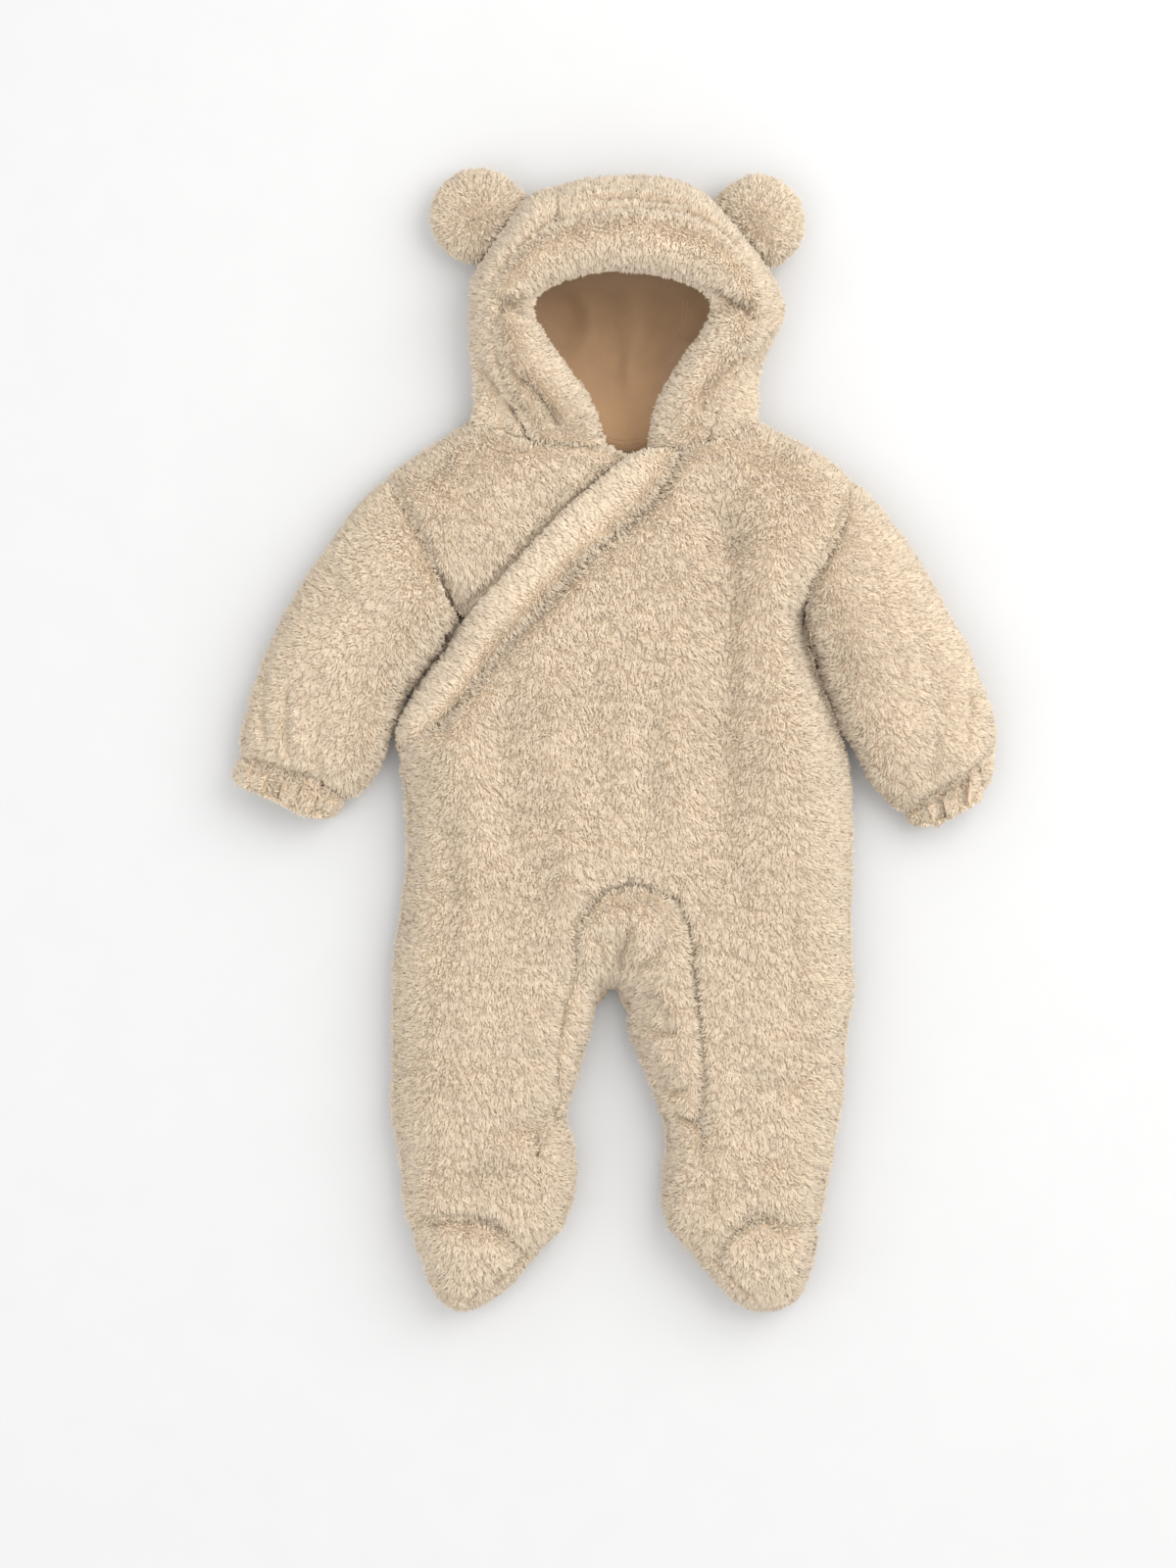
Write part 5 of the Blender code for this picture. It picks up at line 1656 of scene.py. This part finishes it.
@dataclass
class Studio:
    """The white table, the camera straight above, the soft key from the upper right and the pale sky."""

    table: TableFinish = TableFinish("table_white", (0.642, 0.65, 0.662), (0.622, 0.63, 0.642), 0.8)
    table_half: float = 4.0
    table_cells: int = 4
    table_drop: float = 0.2
    lens: float = 100.0
    sensor: float = 36.0
    long_side: float = 960.0
    view_middle: Place = plan(600, 800)
    aim_height: float = 20.0
    lamps: tuple[Lamp, ...] = (
        Lamp("key", (1.0, 0.62, 1.25), 1.6, 17.5, (1.0, 0.98, 0.95)),
        Lamp("fill", (-1.2, -0.6, 1.4), 1.6, 5.0, (0.95, 0.98, 1.0)),
    )
    sky: Colour = (1.0, 0.985, 0.965)
    sky_strength: float = 1.12

    def build(self) -> None:
        """Sets up the table, the camera, the lights and the view's transform."""
        self._table()
        self._camera()
        for lamp in self.lamps:
            lamp.build()
        self._sky()
        bpy.context.scene.view_settings.view_transform = "Standard"

    def _table(self) -> None:
        """Lays a large pale table just below the suit."""
        bm = bmesh.new()
        cells = self.table_cells
        bmesh.ops.create_grid(bm, x_segments=cells, y_segments=cells, size=self.table_half)
        mesh = bpy.data.meshes.new("table")
        bm.to_mesh(mesh)
        bm.free()
        mesh.materials.append(self.table.build())
        table = link("table", mesh)
        table.location.z = -self.table_drop * MM

    def _camera(self) -> None:
        """Hangs the camera straight above, as high as its lens needs."""
        data = bpy.data.cameras.new("camera")
        data.lens = self.lens
        data.sensor_width = self.sensor
        camera = bpy.data.objects.new("camera", data)
        bpy.context.scene.collection.objects.link(camera)
        height = self.long_side * self.lens / self.sensor + self.aim_height
        camera.location = Vector((*self.view_middle, height)) * MM
        bpy.context.scene.camera = camera

    def _sky(self) -> None:
        """Lights the whole scene from a pale sky."""
        world = bpy.data.worlds.new("sky")
        world.use_nodes = True
        light = world.node_tree.nodes["Background"]
        light.inputs["Color"].default_value = (*self.sky, 1)
        light.inputs["Strength"].default_value = self.sky_strength
        bpy.context.scene.world = world


# The dark colour is for the locks' roots, painted shade deep in the pile; the light colour is for their tips.
FUR = FurFinish(
    "faux_fur_pile",
    (0.85, 0.73, 0.575),
    (0.66, 0.53, 0.38),
    sheen=0.25,
    mottle_size=0.035,
    mottle_amount=0.07,
)
BACKING = ClothFinish("faux_fur_backing", (0.68, 0.54, 0.39), (0.60, 0.47, 0.33), 0.95)
# The jersey is painted lighter toward the neck and darker at the top of the mouth, as painted shade under the
# hood's rim.
JERSEY = ClothFinish(
    "lining_jersey",
    (0.225, 0.141, 0.078),
    (0.18, 0.11, 0.06),
    sheen=0.2,
    grain=1800.0,
    bump=0.12,
    painted_light=0.85,
)
THREAD = ClothFinish("lining_thread", (0.38, 0.26, 0.165), (0.32, 0.215, 0.135), 0.8)

ARMS = (
    Arm(
        "left",
        (-0.4, -0.25),
        creases(
            6.0,
            (1.6, (330, 560), (350, 600), (385, 640)),
            (-1.2, (370, 520), (395, 570), (420, 630)),
            (1.6, (250, 620), (262, 660), (258, 690)),
        )
        + creases(
            3.2,
            (3.4, (270, 670), (266, 710), (272, 762)),
            (3.4, (296, 696), (294, 740), (298, 785)),
            (2.4, (328, 735), (326, 775), (330, 802)),
            (2.0, (250, 700), (248, 735), (254, 765)),
            (2.4, *ARMHOLE_LEFT),
            (3.2, *CUFF_LEFT),
        ),
        creases(
            2.6,
            (2.0, *CUFF_LEFT),
            (2.4, (260, 780), (253, 804)),
            (2.6, (284, 790), (279, 816)),
            (2.8, (306, 798), (300, 828)),
            (2.4, (330, 808), (326, 838)),
            (-1.6, (272, 786), (266, 810)),
            (-1.6, (318, 804), (312, 832)),
        ),
        21,
        (
            Nudge((462, 634), (3.5, -1.5), 9.0),
            Nudge((448, 662), (3.4, -1.8), 11.0),
            Nudge((428, 692), (4.2, -1.8), 12.0),
            Nudge((410, 728), (4.6, -1.8), 12.0),
        ),
    ),
    Arm(
        "right",
        (0.4, -0.25),
        creases(
            6.0,
            (1.8, (930, 620), (945, 680), (960, 740)),
            (-1.4, (900, 560), (915, 640), (935, 720)),
            (1.4, (1000, 620), (1005, 660), (1012, 700)),
        )
        + creases(
            3.2,
            (3.0, *ARMHOLE_RIGHT),
            (2.6, (985, 690), (990, 730), (984, 775)),
            (2.4, (955, 745), (950, 780), (946, 806)),
            (3.2, *CUFF_RIGHT),
        ),
        creases(
            2.6,
            (2.0, *CUFF_RIGHT),
            (2.6, (1000, 780), (1004, 806)),
            (2.6, (978, 794), (983, 826)),
            (2.8, (955, 808), (959, 840)),
            (-1.6, (968, 800), (972, 832)),
        ),
        26,
        (
            Nudge((830, 640), (-2.5, -1.0), 12.0),
            Nudge((846, 690), (-3.2, -1.0), 14.0),
            Nudge((860, 740), (-3.2, -1.0), 14.0),
        ),
    ),
)
FEET = (
    Foot(
        "left",
        creases(
            2.6,
            (2.4, *TOE_LEFT),
            (5.0, (444, 1308), (460, 1326), (484, 1327), (504, 1318), (534, 1285), (554, 1268)),
        ),
        31,
    ),
    Foot(
        "right",
        creases(
            2.6,
            (2.6, *TOE_RIGHT),
            (4.2, (703, 1258), (729, 1288), (752, 1312), (778, 1334)),
            (2.2, (727, 1190), (725, 1245), (735, 1280)),
        ),
        36,
    ),
)
EARS = (
    Ear("left", (487, 222), Nudge((526, 208), (3.6, -1.2), 11.0), 51),
    Ear("right", (772, 228), Nudge((738, 214), (-2.6, -1.6), 10.0), 52),
)


def main() -> None:
    """Builds the dressed suit and its studio, in order, and logs each piece."""
    logging.basicConfig(level=logging.INFO, format="%(message)s")
    mottle = Mottle().build()
    finishes = [finish.build(mottle) for finish in (FUR, BACKING, JERSEY, THREAD)]
    shop = Workshop(Outside(), PileTree(), Lock().build(), *finishes)
    for part in (Body(), *ARMS, *FEET, Hood(), Lining(), *EARS):
        part.build(shop)
    Studio().build()


if __name__ == "__main__":
    main()
